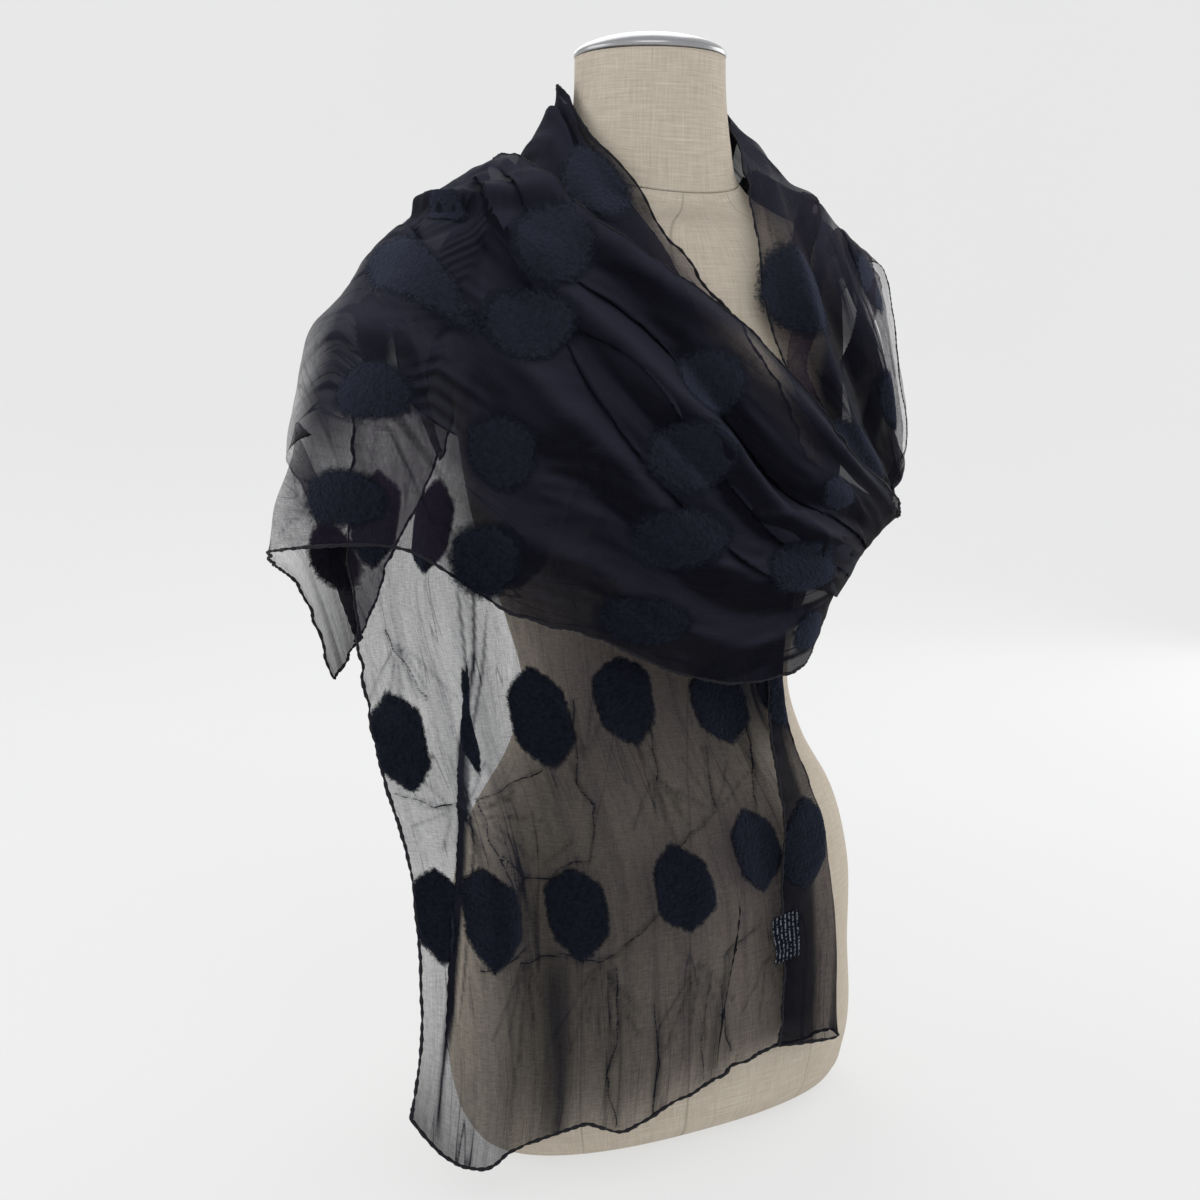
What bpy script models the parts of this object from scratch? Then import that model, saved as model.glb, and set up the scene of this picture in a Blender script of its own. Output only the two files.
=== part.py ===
"""Felted scarf on a limbless dress form, standing on the form's flat base.

One long strip of sheer cloth is built as six stretches, in the order it is wound:
front panel, folded edge, neck, left front, wrap and back end.  Each stretch is a
surface through short sections, with its folds added, then given a wall.
The felt dots are cut from the same facets and moved out.
"""
from collections import namedtuple
import bmesh
import bpy
import numpy as np

CM = 0.01                  # every size below is in centimetres
CLOTH_WALL = 0.12          # wall of the cloth
SEAM_GAP = 0.04            # space between neighbouring pieces
DOT_GAP = 0.08             # space under a felt dot, above the cloth's wall
DOT_THICK = 0.20
DOT_LONG = 7.4             # along the scarf
DOT_WIDE = 4.8             # across the scarf
ACROSS = 18                # cells across the scarf
CELL = 4.6                 # length of a cell along the scarf
STEP_ALONG = 1.5           # steps over which the cloth's slope is taken
STEP_ACROSS = 0.03
RING = 30                  # points around the form
NECK_TOP = 89.2
SEAM_TILT = 0.33           # the neck seam is lower in front
CAP_RADIUS = 6.3
CAP_BAND = 0.7
CAP_DOME = 1.15
LABEL = (2.6, 3.7, 0.06)   # width, length, wall
LABEL_GAP = 0.05
LABEL_ALONG = 10.6
LABEL_ACROSS = 0.2
EDGE_FROM = 1.0            # the folded edge's ends along the front panel
EDGE_TO = 37.0
EDGE_WIDE = 0.140          # its width, as a share of the panel's
EDGE_LIFT = 0.65           # how far it stands in front of the panel
EDGE_LOOP = 0.25
EDGE_CELLS = 4

# The form's horizontal sections: height, half width, middle, front and back half depth,
# and the power of the oval (2 is an ellipse).
Oval = namedtuple("Oval", "z half_w mid_y front back power")
TORSO = [
    Oval(0.0, 14.8, -2.3, 5.7, 8.3, 2.35),
    Oval(0.6, 16.5, -2.3, 7.3, 10.0, 2.4),
    Oval(1.9, 17.7, -2.3, 8.6, 11.2, 2.4),
    Oval(3.8, 18.3, -2.3, 9.1, 11.8, 2.4),
    Oval(14.0, 18.4, -2.3, 9.4, 11.8, 2.4),
    Oval(22.0, 18.1, -2.2, 9.4, 11.6, 2.4),
    Oval(28.0, 16.4, -2.1, 8.8, 10.4, 2.35),
    Oval(33.0, 13.5, -2.0, 7.6, 8.2, 2.3),
    Oval(38.0, 12.0, -1.8, 7.4, 7.2, 2.25),
    Oval(44.0, 13.2, -1.6, 8.4, 8.0, 2.25),
    Oval(50.0, 15.2, -1.4, 10.2, 9.6, 2.3),
    Oval(56.0, 16.3, -1.0, 11.6, 10.4, 2.35),
    Oval(62.0, 16.9, -0.6, 11.0, 10.6, 2.4),
    Oval(68.0, 17.6, -0.2, 9.6, 9.8, 2.4),
    Oval(72.0, 17.6, 0.0, 8.2, 8.3, 2.4),
    Oval(74.6, 16.6, 0.0, 6.9, 6.9, 2.3),
    Oval(76.6, 14.0, 0.0, 6.4, 6.4, 2.15),
    Oval(78.4, 10.0, 0.0, 6.6, 6.5, 2.0),
    Oval(80.4, 7.6, 0.0, 6.6, 6.3, 2.0),
]
NECK = [
    Oval(80.4, 7.6, 0.0, 6.6, 6.3, 2.0),
    Oval(83.0, 6.7, 0.0, 6.3, 6.0, 2.0),
    Oval(86.5, 6.2, 0.0, 6.1, 6.0, 2.0),
    Oval(NECK_TOP, 6.1, 0.0, 6.1, 6.1, 2.0),
]

# Sections of the scarf: distance along it, the least space off the form, then the outer
# edge, the middle and the inner edge, each as (x, y, z).  The inner edge is the one
# beside the neck.
Section = namedtuple("Section", "along off outer middle inner")
SCARF = [
    # front panel, from its hem up to the right shoulder
    Section(0, 0.41, (-25.6, -8.6, 3.2), (-9.5, -13.4, 4.0), (11.3, -12.3, 8.5)),
    Section(8, 0.41, (-24.4, -8.2, 13.6), (-9.1, -13.4, 13.4), (11.5, -12.3, 17.2)),
    Section(16, 0.41, (-24.4, -7.5, 24.0), (-8.8, -13.2, 23.0), (10.2, -12.5, 25.6)),
    Section(32, 0.41, (-26.1, -3.6, 37.2), (-12.0, -12.0, 39.3), (4.4, -13.7, 40.3)),
    Section(48, 0.41, (-25.6, 2.2, 50.4), (-13.5, -10.7, 52.0), (7.1, -13.6, 55.1)),
    Section(62, 0.41, (-24.2, 2.6, 63.8), (-13.6, -8.8, 67.2), (3.2, -11.6, 66.2)),
    Section(72, 0.41, (-22.0, 2.4, 69.2), (-13.5, -6.2, 73.8), (-2.4, -8.2, 74.2)),
    Section(82, 0.8, (-20.4, 4.8, 71.0), (-11.8, -0.3, 78.6), (-7.0, 0.1, 85.6)),
    # behind the neck
    Section(96, 0.8, (-16.2, 11.2, 61.0), (-10.4, 8.4, 72.5), (-5.2, 5.2, 86.0)),
    Section(110, 0.41, (0.0, 12.2, 55.0), (0.0, 11.2, 70.0), (0.0, 7.4, 86.3)),
    Section(124, 0.41, (17.5, 10.5, 60.0), (11.0, 8.8, 72.5), (5.3, 5.2, 86.0)),
    Section(138, 0.41, (24.0, 2.4, 73.5), (15.5, 0.9, 79.2), (7.3, 0.1, 85.6)),
    # left front, down to the turn at the left side
    Section(148, 0.41, (25.9, 1.2, 69.5), (13.2, -7.2, 73.2), (5.6, -7.3, 76.0)),
    Section(158, 0.41, (26.3, 0.0, 63.5), (15.2, -9.2, 66.4), (4.9, -11.0, 67.7)),
    Section(168, 0.41, (26.9, -0.6, 58.0), (19.2, -7.0, 59.6), (8.7, -12.3, 61.3)),
    Section(176, 0.41, (26.6, 0.0, 55.5), (22.3, -4.8, 56.0), (15.5, -9.6, 57.0)),
    Section(181, 0.41, (25.6, 0.5, 54.1), (23.7, -2.6, 53.6), (21.2, -5.7, 53.2)),
    # wrap, up across the chest
    Section(185, 2.2, (21.6, 2.4, 48.5), (21.6, -1.4, 50.6), (21.6, -5.9, 52.8)),
    Section(190, 2.2, (18.6, -1.2, 44.9), (18.9, -4.0, 48.6), (20.7, -7.2, 51.8)),
    Section(196, 2.2, (12.2, -8.0, 42.7), (14.9, -9.8, 49.0), (18.2, -10.2, 53.7)),
    Section(204, 2.2, (5.2, -16.0, 41.6), (7.6, -16.1, 51.2), (11.0, -13.6, 58.0)),
    Section(212, 2.2, (-1.6, -16.7, 41.1), (0.2, -16.6, 52.5), (6.3, -14.1, 62.9)),
    Section(220, 2.2, (-6.9, -15.9, 42.5), (-5.3, -16.0, 55.3), (0.7, -13.1, 68.0)),
    Section(228, 2.2, (-12.1, -14.2, 45.1), (-11.2, -14.4, 58.9), (-4.9, -11.3, 71.9)),
    # cape, over the right shoulder
    Section(236, 2.2, (-17.9, -11.4, 47.1), (-16.6, -11.0, 60.8), (-10.2, -8.0, 76.1)),
    Section(245, 2.2, (-25.0, -7.2, 51.8), (-22.8, -6.2, 68.2), (-12.4, -1.0, 80.8)),
    Section(253, 2.2, (-31.0, -0.5, 51.4), (-24.2, -1.0, 69.4), (-13.0, 2.3, 81.8)),
    # back end, down behind the right shoulder
    Section(261, 2.2, (-31.2, 6.5, 49.8), (-24.6, 5.0, 69.4), (-12.1, 5.4, 81.2)),
    Section(270, 2.2, (-26.7, 11.9, 46.2), (-22.0, 10.9, 65.6), (-9.6, 10.3, 80.1)),
    Section(279, 2.2, (-23.3, 14.6, 37.5), (-15.7, 14.8, 51.2), (-5.9, 14.4, 74.6)),
]

# The front panel's hem: how far each place across it is drawn up.
HEM_ACROSS = (0.0, 0.08, 0.17, 0.25, 0.33, 0.42, 0.50, 0.56, 0.67, 0.83, 1.0)
HEM_RISE = (4.2, 1.2, 0.5, 1.3, 1.9, 2.2, 0.6, 1.0, 1.9, 1.7, 0.0)
HEM_REACH = 14.0

# Folds: where each starts and ends (along, across 0 outer to 1 inner), its half width
# across, and how far it stands out (less than zero for a valley).
Fold = namedtuple("Fold", "from_along from_across to_along to_across half depth")
FOLDS = [
    Fold(-6, 0.17, 60, 0.24, 0.055, 1.3),
    Fold(-6, 0.27, 50, 0.33, 0.050, -0.7),
    Fold(14, 0.52, 82, 0.42, 0.060, 0.6),
    Fold(-6, 0.66, 30, 0.70, 0.055, 0.6),
    Fold(-6, 0.86, 36, 0.84, 0.050, -0.6),
    Fold(40, 0.72, 82, 0.66, 0.070, -0.5),
    Fold(82, 0.30, 138, 0.34, 0.070, 0.8),
    Fold(82, 0.52, 138, 0.50, 0.060, -0.7),
    Fold(82, 0.72, 138, 0.70, 0.070, 0.7),
    Fold(138, 0.84, 176, 0.80, 0.060, 0.9),
    Fold(138, 0.66, 180, 0.60, 0.060, -0.9),
    Fold(138, 0.48, 180, 0.44, 0.065, 0.9),
    Fold(140, 0.28, 180, 0.26, 0.060, -0.8),
    Fold(189, 0.88, 239, 0.90, 0.055, 0.9),
    Fold(187, 0.74, 253, 0.76, 0.060, -0.9),
    Fold(187, 0.60, 251, 0.60, 0.065, 1.1),
    Fold(189, 0.44, 241, 0.42, 0.060, -0.9),
    Fold(189, 0.28, 237, 0.22, 0.060, 0.9),
    Fold(195, 0.12, 221, 0.06, 0.050, -0.5),
    Fold(253, 0.70, 285, 0.66, 0.070, -0.5),
    Fold(253, 0.40, 285, 0.42, 0.070, 0.9),
    Fold(253, 0.16, 285, 0.20, 0.060, -0.7),
]

# Felt dots, in rows across the scarf: the row's distance along the scarf and how far
# across it each dot's middle lies.  The folded edge has its own, across the turned strip.
DotRow = namedtuple("DotRow", "along across")
DOT_ROWS = [
    DotRow(16.4, (0.045, 0.20, 0.38, 0.63, 0.85)),
    DotRow(31.9, (0.055, 0.22, 0.39, 0.58, 0.81)),
    DotRow(48.3, (0.06, 0.22, 0.42, 0.62, 0.82)),
    DotRow(62.5, (0.48, 0.76)),
    DotRow(76.5, (0.81,)),
    DotRow(94, (0.28, 0.64)),
    DotRow(110, (0.20, 0.46, 0.76)),
    DotRow(126, (0.28, 0.64)),
    DotRow(147, (0.19,)),
    DotRow(154.3, (0.88,)),
    DotRow(164.2, (0.45,)),
    DotRow(171, (0.86,)),
    DotRow(204.5, (0.14, 0.40, 0.72)),
    DotRow(220.3, (0.10, 0.37, 0.60, 0.80)),
    DotRow(237.2, (0.10, 0.40, 0.68, 0.89)),
    DotRow(248.2, (0.09, 0.31, 0.58, 0.77)),
    DotRow(266, (0.43, 0.72)),
    DotRow(273.5, (0.18,)),
]
FOLDED_DOTS = [
    DotRow(16.4, (0.36,)),
    DotRow(32, (0.36,)),
]

# The stretches in the order that they are wound: where each starts and stops along the
# scarf, with a small space to the next one.
STRETCHES = {
    "front_panel": (0.0, 81.92),
    "neck_back": (82.09, 137.93),
    "left_front": (138.07, 180.92),
    "wrap": (181.20, 227.94),
    "cape": (228.06, 252.94),
    "back_end": (253.06, 279.0),
}


def curve(knots, values, at):
    """Smooth curve through values at the knots, read at the given places."""
    knots = np.asarray(knots, float)
    values = np.asarray(values, float)
    slopes = np.gradient(values, knots, axis=0)
    at = np.asarray(at, float)
    k = np.clip(np.searchsorted(knots, at, side="right") - 1, 0, len(knots) - 2)
    step = knots[k + 1] - knots[k]
    u = np.clip((at - knots[k]) / step, 0.0, 1.0)
    extra = values.ndim - 1
    u = u.reshape(u.shape + (1,) * extra)
    step = step.reshape(step.shape + (1,) * extra)
    hold = (2 * u ** 3 - 3 * u ** 2 + 1) * values[k] + (3 * u ** 2 - 2 * u ** 3) * values[k + 1]
    lean = (u ** 3 - 2 * u ** 2 + u) * slopes[k] + (u ** 3 - u ** 2) * slopes[k + 1]
    return hold + lean * step


FORM = TORSO[:-1] + NECK
FORM_Z = [oval.z for oval in FORM]
FORM_SIZES = [oval[1:] for oval in FORM]


def form_reach(p):
    """How far out a point is, where 1 is on the form."""
    sizes = curve(FORM_Z, FORM_SIZES, np.clip(p[..., 2], 0.0, NECK_TOP))
    y = p[..., 1] - sizes[..., 1]
    depth = np.where(y < 0, sizes[..., 2], sizes[..., 3])
    power = sizes[..., 4]
    total = (np.abs(p[..., 0]) / sizes[..., 0]) ** power + (np.abs(y) / depth) ** power
    return total ** (1.0 / power)


def keep_clear(p, off):
    """Moves points out until they are at least the given space off the form."""
    for _ in range(6):
        reach = form_reach(p)
        steps = [(form_reach(p + d) - form_reach(p - d)) / 0.1 for d in np.eye(3) * 0.05]
        slope = np.stack(steps, axis=-1)
        size = np.maximum(np.linalg.norm(slope, axis=-1), 1e-4)
        short = np.clip(off - (reach - 1.0) / size, 0.0, 2.0)
        p = p + slope / size[..., None] * short[..., None]
    return p


SCARF_ALONG = [row.along for row in SCARF]
SCARF_EDGES = [(row.outer, row.middle, row.inner) for row in SCARF]
SCARF_OFF = [row.off for row in SCARF]


def smooth_cloth(s, t):
    """Points at distances s along the scarf and t across it, before its folds."""
    rows = curve(SCARF_ALONG, SCARF_EDGES, s)
    outer, middle, inner = rows[..., 0, :], rows[..., 1, :], rows[..., 2, :]
    share = t[..., None]
    p = outer * (1 - share) * (1 - 2 * share) + middle * 4 * share * (1 - share)
    p = p + inner * share * (2 * share - 1)
    p[..., 2] += curve(HEM_ACROSS, HEM_RISE, t) * np.clip(1.0 - s / HEM_REACH, 0.0, 1.0) ** 2
    return keep_clear(p, curve(SCARF_ALONG, SCARF_OFF, s))


def smooth_normals(s, t):
    """Outward normals of the cloth before its folds."""
    along = smooth_cloth(s + STEP_ALONG, t) - smooth_cloth(s - STEP_ALONG, t)
    across = smooth_cloth(s, t + STEP_ACROSS) - smooth_cloth(s, t - STEP_ACROSS)
    normal = np.cross(across, along)
    return normal / np.linalg.norm(normal, axis=-1, keepdims=True)


def fold_height(s, t):
    """How far the folds stand out at the given places."""
    out = np.zeros(s.shape)
    for fold in FOLDS:
        u = (s - fold.from_along) / (fold.to_along - fold.from_along)
        middle = fold.from_across + (fold.to_across - fold.from_across) * u
        ends = np.clip(4 * u * (1 - u), 0.0, 1.0) ** 0.5
        out = out + fold.depth * ends * np.exp(-((t - middle) / fold.half) ** 2)
    return out


def folded_cloth(s_lines, t_lines):
    """The scarf's corner points on a grid, with its folds, and their normals."""
    s, t = np.meshgrid(s_lines, t_lines, indexing="ij")
    p = smooth_cloth(s, t)
    p = p + smooth_normals(s, t) * fold_height(s, t)[..., None]
    p = keep_clear(p, curve(SCARF_ALONG, SCARF_OFF, s))
    return p, grid_normals(p)


def grid_normals(p):
    """Outward normals at the points of a grid."""
    along = np.gradient(p, axis=0)
    across = np.gradient(p, axis=1)
    normal = np.cross(across, along)
    return normal / np.linalg.norm(normal, axis=-1, keepdims=True)


def collection(name, parent=None):
    made = bpy.data.collections.new(name)
    (parent or bpy.context.scene.collection).children.link(made)
    return made


def material(name, colour, rough, metal=0.0):
    made = bpy.data.materials.new(name)
    made.use_nodes = True
    shader = made.node_tree.nodes["Principled BSDF"]
    shader.inputs["Base Color"].default_value = colour + (1.0,)
    shader.inputs["Roughness"].default_value = rough
    shader.inputs["Metallic"].default_value = metal
    return made


def add_object(name, mesh, mat, group, smooth=True):
    mesh.materials.append(mat)
    mesh.polygons.foreach_set("use_smooth", [smooth] * len(mesh.polygons))
    made = bpy.data.objects.new(name, mesh)
    group.objects.link(made)
    return made


def thicken(made, wall, offset):
    """A wall on an open surface."""
    solid = made.modifiers.new("Wall", "SOLIDIFY")
    solid.thickness = wall * CM
    solid.offset = offset
    solid.use_even_offset = False
    solid.use_quality_normals = True
    return made


def loft(name, ovals, tilts, mat, group):
    """A closed body through horizontal ovals, flat at both ends."""
    bm = bmesh.new()
    angles = np.arange(RING) * 2 * np.pi / RING
    rings = []
    for oval, tilt in zip(ovals, tilts):
        c, s = np.cos(angles), np.sin(angles)
        x = np.sign(c) * np.abs(c) ** (2 / oval.power) * oval.half_w
        depth = np.where(s < 0, oval.front, oval.back)
        y = np.sign(s) * np.abs(s) ** (2 / oval.power) * depth
        z = oval.z + tilt * y
        rings.append([bm.verts.new((a * CM, (b + oval.mid_y) * CM, d * CM)) for a, b, d in zip(x, y, z)])
    for low, high in zip(rings, rings[1:]):
        for k in range(RING):
            j = (k + 1) % RING
            bm.faces.new((low[k], low[j], high[j], high[k]))
    bm.faces.new(rings[0][::-1])
    bm.faces.new(rings[-1])
    bmesh.ops.recalc_face_normals(bm, faces=bm.faces[:])
    mesh = bpy.data.meshes.new(name)
    bm.to_mesh(mesh)
    bm.free()
    return add_object(name, mesh, mat, group)


def lines_between(start, stop, step):
    return np.linspace(start, stop, max(2, int(round((stop - start) / step)) + 1))


def cloth(name, p, mat, group):
    """An open grid with a wall."""
    rows, cols = p.shape[:2]
    verts = (p.reshape(-1, 3) * CM).tolist()
    faces = []
    for i in range(rows - 1):
        for j in range(cols - 1):
            a = i * cols + j
            faces.append((a, a + 1, a + cols + 1))
            faces.append((a, a + cols + 1, a + cols))
    mesh = bpy.data.meshes.new(name)
    mesh.from_pydata(verts, [], faces)
    return thicken(add_object(name, mesh, mat, group), CLOTH_WALL, 0.0)


def on_facets(p, s_lines, t_lines, s, t):
    """A point on the stretch's own facets."""
    i = int(np.clip(np.searchsorted(s_lines, s, side="right") - 1, 0, len(s_lines) - 2))
    j = int(np.clip(np.searchsorted(t_lines, t, side="right") - 1, 0, len(t_lines) - 2))
    u = (s - s_lines[i]) / (s_lines[i + 1] - s_lines[i])
    v = (t - t_lines[j]) / (t_lines[j + 1] - t_lines[j])
    first, last = p[i, j], p[i + 1, j + 1]
    if v >= u:
        return first + v * (p[i, j + 1] - first) + u * (last - p[i, j + 1])
    return first + u * (p[i + 1, j] - first) + v * (last - p[i + 1, j])


def felt_dot(name, cloth_grid, along, over, mat, group):
    """A felt dot: the facets inside its outline, moved out and given a wall."""
    s_lines, t_lines, p, normal = cloth_grid
    i = int(np.clip(np.searchsorted(s_lines, along), 1, len(s_lines) - 2))
    j = int(np.clip(np.searchsorted(t_lines, over), 1, len(t_lines) - 2))
    span_s = s_lines[i + 1] - s_lines[i - 1]
    span_t = t_lines[j + 1] - t_lines[j - 1]
    per_s = np.linalg.norm(p[i + 1, j] - p[i - 1, j]) / span_s
    per_t = np.linalg.norm(p[i, j + 1] - p[i, j - 1]) / span_t
    half_s = DOT_LONG / 2 / per_s
    half_t = DOT_WIDE / 2 / per_t
    bm = bmesh.new()
    index = {}
    for a, s in enumerate(s_lines):
        for b, t in enumerate(t_lines):
            index[a, b] = bm.verts.new((s, t, 0.0))
    for a in range(len(s_lines) - 1):
        for b in range(len(t_lines) - 1):
            bm.faces.new((index[a, b], index[a, b + 1], index[a + 1, b + 1]))
            bm.faces.new((index[a, b], index[a + 1, b + 1], index[a + 1, b]))
    for k in range(8):
        angle = (k + 0.5) * np.pi / 4
        no = (np.cos(angle) / half_s, np.sin(angle) / half_t, 0.0)
        co = (along + np.cos(angle) * half_s, over + np.sin(angle) * half_t, 0.0)
        geom = bm.verts[:] + bm.edges[:] + bm.faces[:]
        bmesh.ops.bisect_plane(bm, geom=geom, plane_co=co, plane_no=no, clear_outer=True)
    move = CLOTH_WALL / 2 + DOT_GAP
    for vert in bm.verts:
        s, t = vert.co.x, vert.co.y
        spot = on_facets(p, s_lines, t_lines, s, t)
        lift = on_facets(normal, s_lines, t_lines, s, t)
        lift = lift / np.linalg.norm(lift)
        vert.co = (spot + lift * move) * CM
    bmesh.ops.remove_doubles(bm, verts=bm.verts[:], dist=0.00005)
    mesh = bpy.data.meshes.new(name)
    bm.to_mesh(mesh)
    bm.free()
    return thicken(add_object(name, mesh, mat, group), DOT_THICK, 1.0)


def stretch(name, start, stop, mat, group):
    """One stretch of the scarf, which returns its grid for what lies on it."""
    s_lines = lines_between(start, stop, CELL)
    t_lines = np.linspace(0.0, 1.0, ACROSS + 1)
    p, normal = folded_cloth(s_lines, t_lines)
    cloth("scarf_" + name, p, mat, group)
    return s_lines, t_lines, p, normal


def folded_edge(panel, mat, group):
    """The edge of the front panel turned back over itself, from the panel's points."""
    s_lines, t_lines, p, normal = panel
    rows = [k for k, s in enumerate(s_lines) if EDGE_FROM <= s <= EDGE_TO]
    edge = p[rows, -1]
    across = edge - p[rows, -2]
    across = across / np.linalg.norm(across, axis=-1, keepdims=True)
    out = normal[rows, -1]
    loops = [(1.0, 0.0), (1.0, 0.3), (0.85, 0.62)]
    columns = []
    for side, lift in loops[::-1]:
        reach = SEAM_GAP + CLOTH_WALL / 2 + EDGE_LOOP * np.sin(np.pi * lift / 2) * side
        columns.append(edge + across * reach + out * lift * EDGE_LIFT)
    flat = []
    for k in range(1, EDGE_CELLS + 1):
        t = 1.0 - EDGE_WIDE * k / EDGE_CELLS
        j = t * ACROSS
        low = int(np.floor(j))
        f = j - low
        spot = p[rows, low] * (1 - f) + p[rows, min(low + 1, ACROSS)] * f
        flat.append(spot + out * EDGE_LIFT)
    grid = np.stack(flat[::-1] + columns, axis=1)
    cloth("scarf_folded_edge", grid, mat, group)
    lines = np.linspace(0.0, 1.0, grid.shape[1])
    return s_lines[rows], lines, grid, grid_normals(grid)


def label(strip, mat, group):
    """The bare care label, standing just off the folded edge."""
    s_lines, t_lines, p, normal = strip
    wide, long, wall = LABEL
    spot = on_facets(p, s_lines, t_lines, LABEL_ALONG, LABEL_ACROSS)
    out = on_facets(normal, s_lines, t_lines, LABEL_ALONG, LABEL_ACROSS)
    out = out / np.linalg.norm(out)
    up = np.array((0.0, 0.0, 1.0))
    side = np.cross(up, out)
    side = side / np.linalg.norm(side)
    up = np.cross(out, side)
    spot = spot + out * (CLOTH_WALL / 2 + LABEL_GAP)
    bm = bmesh.new()
    verts = []
    for a, b in ((-1, -1), (1, -1), (1, 1), (-1, 1)):
        verts.append(bm.verts.new((spot + side * a * wide / 2 + up * b * long / 2) * CM))
    bm.faces.new(verts)
    mesh = bpy.data.meshes.new("care_label")
    bm.to_mesh(mesh)
    bm.free()
    return thicken(add_object("care_label", mesh, mat, group, smooth=False), wall, 1.0)


def cap(mat, group):
    """The turned cap on the neck: a band with a low dome."""
    base = NECK_TOP + SEAM_GAP
    steps = np.linspace(0.0, np.pi / 2, 5)
    outline = [(0.0, base), (CAP_RADIUS - 0.15, base), (CAP_RADIUS, base + 0.15)]
    for a in steps:
        outline.append((CAP_RADIUS * np.cos(a), base + CAP_BAND + CAP_DOME * np.sin(a)))
    mesh = bpy.data.meshes.new("neck_cap")
    verts = [(max(x, 0.0) * CM, 0.0, z * CM) for x, z in outline]
    verts[-1] = (0.0, 0.0, verts[-1][2])
    mesh.from_pydata(verts, [(k, k + 1) for k in range(len(verts) - 1)], [])
    made = add_object("neck_cap", mesh, mat, group)
    turned = made.modifiers.new("Turned", "SCREW")
    turned.angle = 2 * np.pi
    turned.steps = 24
    turned.render_steps = 24
    turned.use_merge_vertices = True
    turned.merge_threshold = 0.0001
    turned.use_normal_calculate = True
    return made


def main():
    for old in list(bpy.data.objects):
        bpy.data.objects.remove(old, do_unlink=True)
    whole = collection("felted_scarf_on_form")
    linen = material("linen", (0.62, 0.56, 0.49), 0.9)
    chrome = material("chrome", (0.75, 0.75, 0.76), 0.15, 1.0)
    sheer = material("sheer_black", (0.02, 0.02, 0.025), 0.8)
    felt = material("felt_navy", (0.008, 0.009, 0.014), 1.0)
    woven = material("label_black", (0.015, 0.018, 0.03), 0.6)

    tilts = [0.0] * (len(TORSO) - 3) + [SEAM_TILT * k / 3 for k in (1, 2, 3)]
    loft("form_torso", TORSO, tilts, linen, whole)
    above = [NECK[0]._replace(z=NECK[0].z + SEAM_GAP)] + NECK[1:]
    loft("form_neck", above, [SEAM_TILT, SEAM_TILT / 2, 0.0, 0.0], linen, whole)
    cap(chrome, whole)

    made = {}
    for name, (start, stop) in STRETCHES.items():
        made[name] = stretch(name, start, stop, sheer, whole)
    turned = folded_edge(made["front_panel"], sheer, whole)
    label(turned, woven, whole)
    places = []
    for row in DOT_ROWS:
        name = max((k for k in STRETCHES if STRETCHES[k][0] < row.along), key=lambda k: STRETCHES[k][0])
        places += [(made[name], row.along, across) for across in row.across]
    for row in FOLDED_DOTS:
        places += [(turned, row.along, across) for across in row.across]
    for k, (grid, along, across) in enumerate(places):
        felt_dot("felt_dot_%02d" % (k + 1), grid, along, across, felt, whole)


main()
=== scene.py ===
"""Looks of the felted scarf on its limbless dress form.

The scarf is one long strip of crinkled sheer cloth with felt dots on both of its sides.
Its whole surface is worked out once, from the flat cloth, its pleats and its folds, and
each stretch takes its own rows of it.  The hems, the dots and the label are made on the
same surface.
"""
from collections import namedtuple

import bmesh
import bpy
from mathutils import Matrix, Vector
import numpy as np


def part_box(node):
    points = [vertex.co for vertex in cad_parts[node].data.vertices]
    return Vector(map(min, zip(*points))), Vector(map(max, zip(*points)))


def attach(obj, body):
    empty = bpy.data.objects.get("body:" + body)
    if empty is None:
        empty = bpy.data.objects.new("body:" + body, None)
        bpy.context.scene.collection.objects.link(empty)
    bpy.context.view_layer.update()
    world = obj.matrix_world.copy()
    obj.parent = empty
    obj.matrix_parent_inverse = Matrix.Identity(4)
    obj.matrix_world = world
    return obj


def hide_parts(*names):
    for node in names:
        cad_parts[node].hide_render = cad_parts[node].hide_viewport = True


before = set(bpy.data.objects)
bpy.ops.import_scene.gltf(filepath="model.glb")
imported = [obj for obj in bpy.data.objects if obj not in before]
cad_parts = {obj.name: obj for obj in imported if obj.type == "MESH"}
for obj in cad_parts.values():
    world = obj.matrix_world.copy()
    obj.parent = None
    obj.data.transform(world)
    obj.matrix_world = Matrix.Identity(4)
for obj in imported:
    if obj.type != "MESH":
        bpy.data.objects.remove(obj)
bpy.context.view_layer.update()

# Sizes are in centimetres.  "Along" runs the length of the scarf, from the hem of its front
# panel.  "Across" runs from 0 at its outer edge to 1 at its inner edge.
CM = 0.01
FLAT_WIDE = 50.0           # the cloth as cut, across
CELL = 0.28                # length of a cell of cloth
COLUMNS = 180              # cells of cloth across
BASE_COLUMNS = 62          # places across where the smooth surface is worked out
BASE_PAST = 0.12           # how far they run past each edge
STEP_ALONG = 1.5           # steps over which the smooth surface's slope is taken
STEP_ACROSS = 0.03
SPARE_TAKEN = 0.9          # how much of the spare cloth the pleats take up
PLEAT_ARC = 0.7            # length of the turn at each side of a pleat
STEEP_LEAST = 0.33         # limits how much darker a steep side of a fold looks
HEM_ROUND = 0.125          # radius of the rolled hem

# The turn at the left side, where the pleats are pressed flat and the wrap's folds begin.
TURN_FROM, TURN_MIDDLE, TURN_REACH = 183, 186, 13
WRAP_FOLDS_FROM, WRAP_FOLDS_GROW = 190, 22
CLEAR_UNDER, CLEAR_OVER = 0.22, 1.0    # space off the form, before the turn and past it

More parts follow.
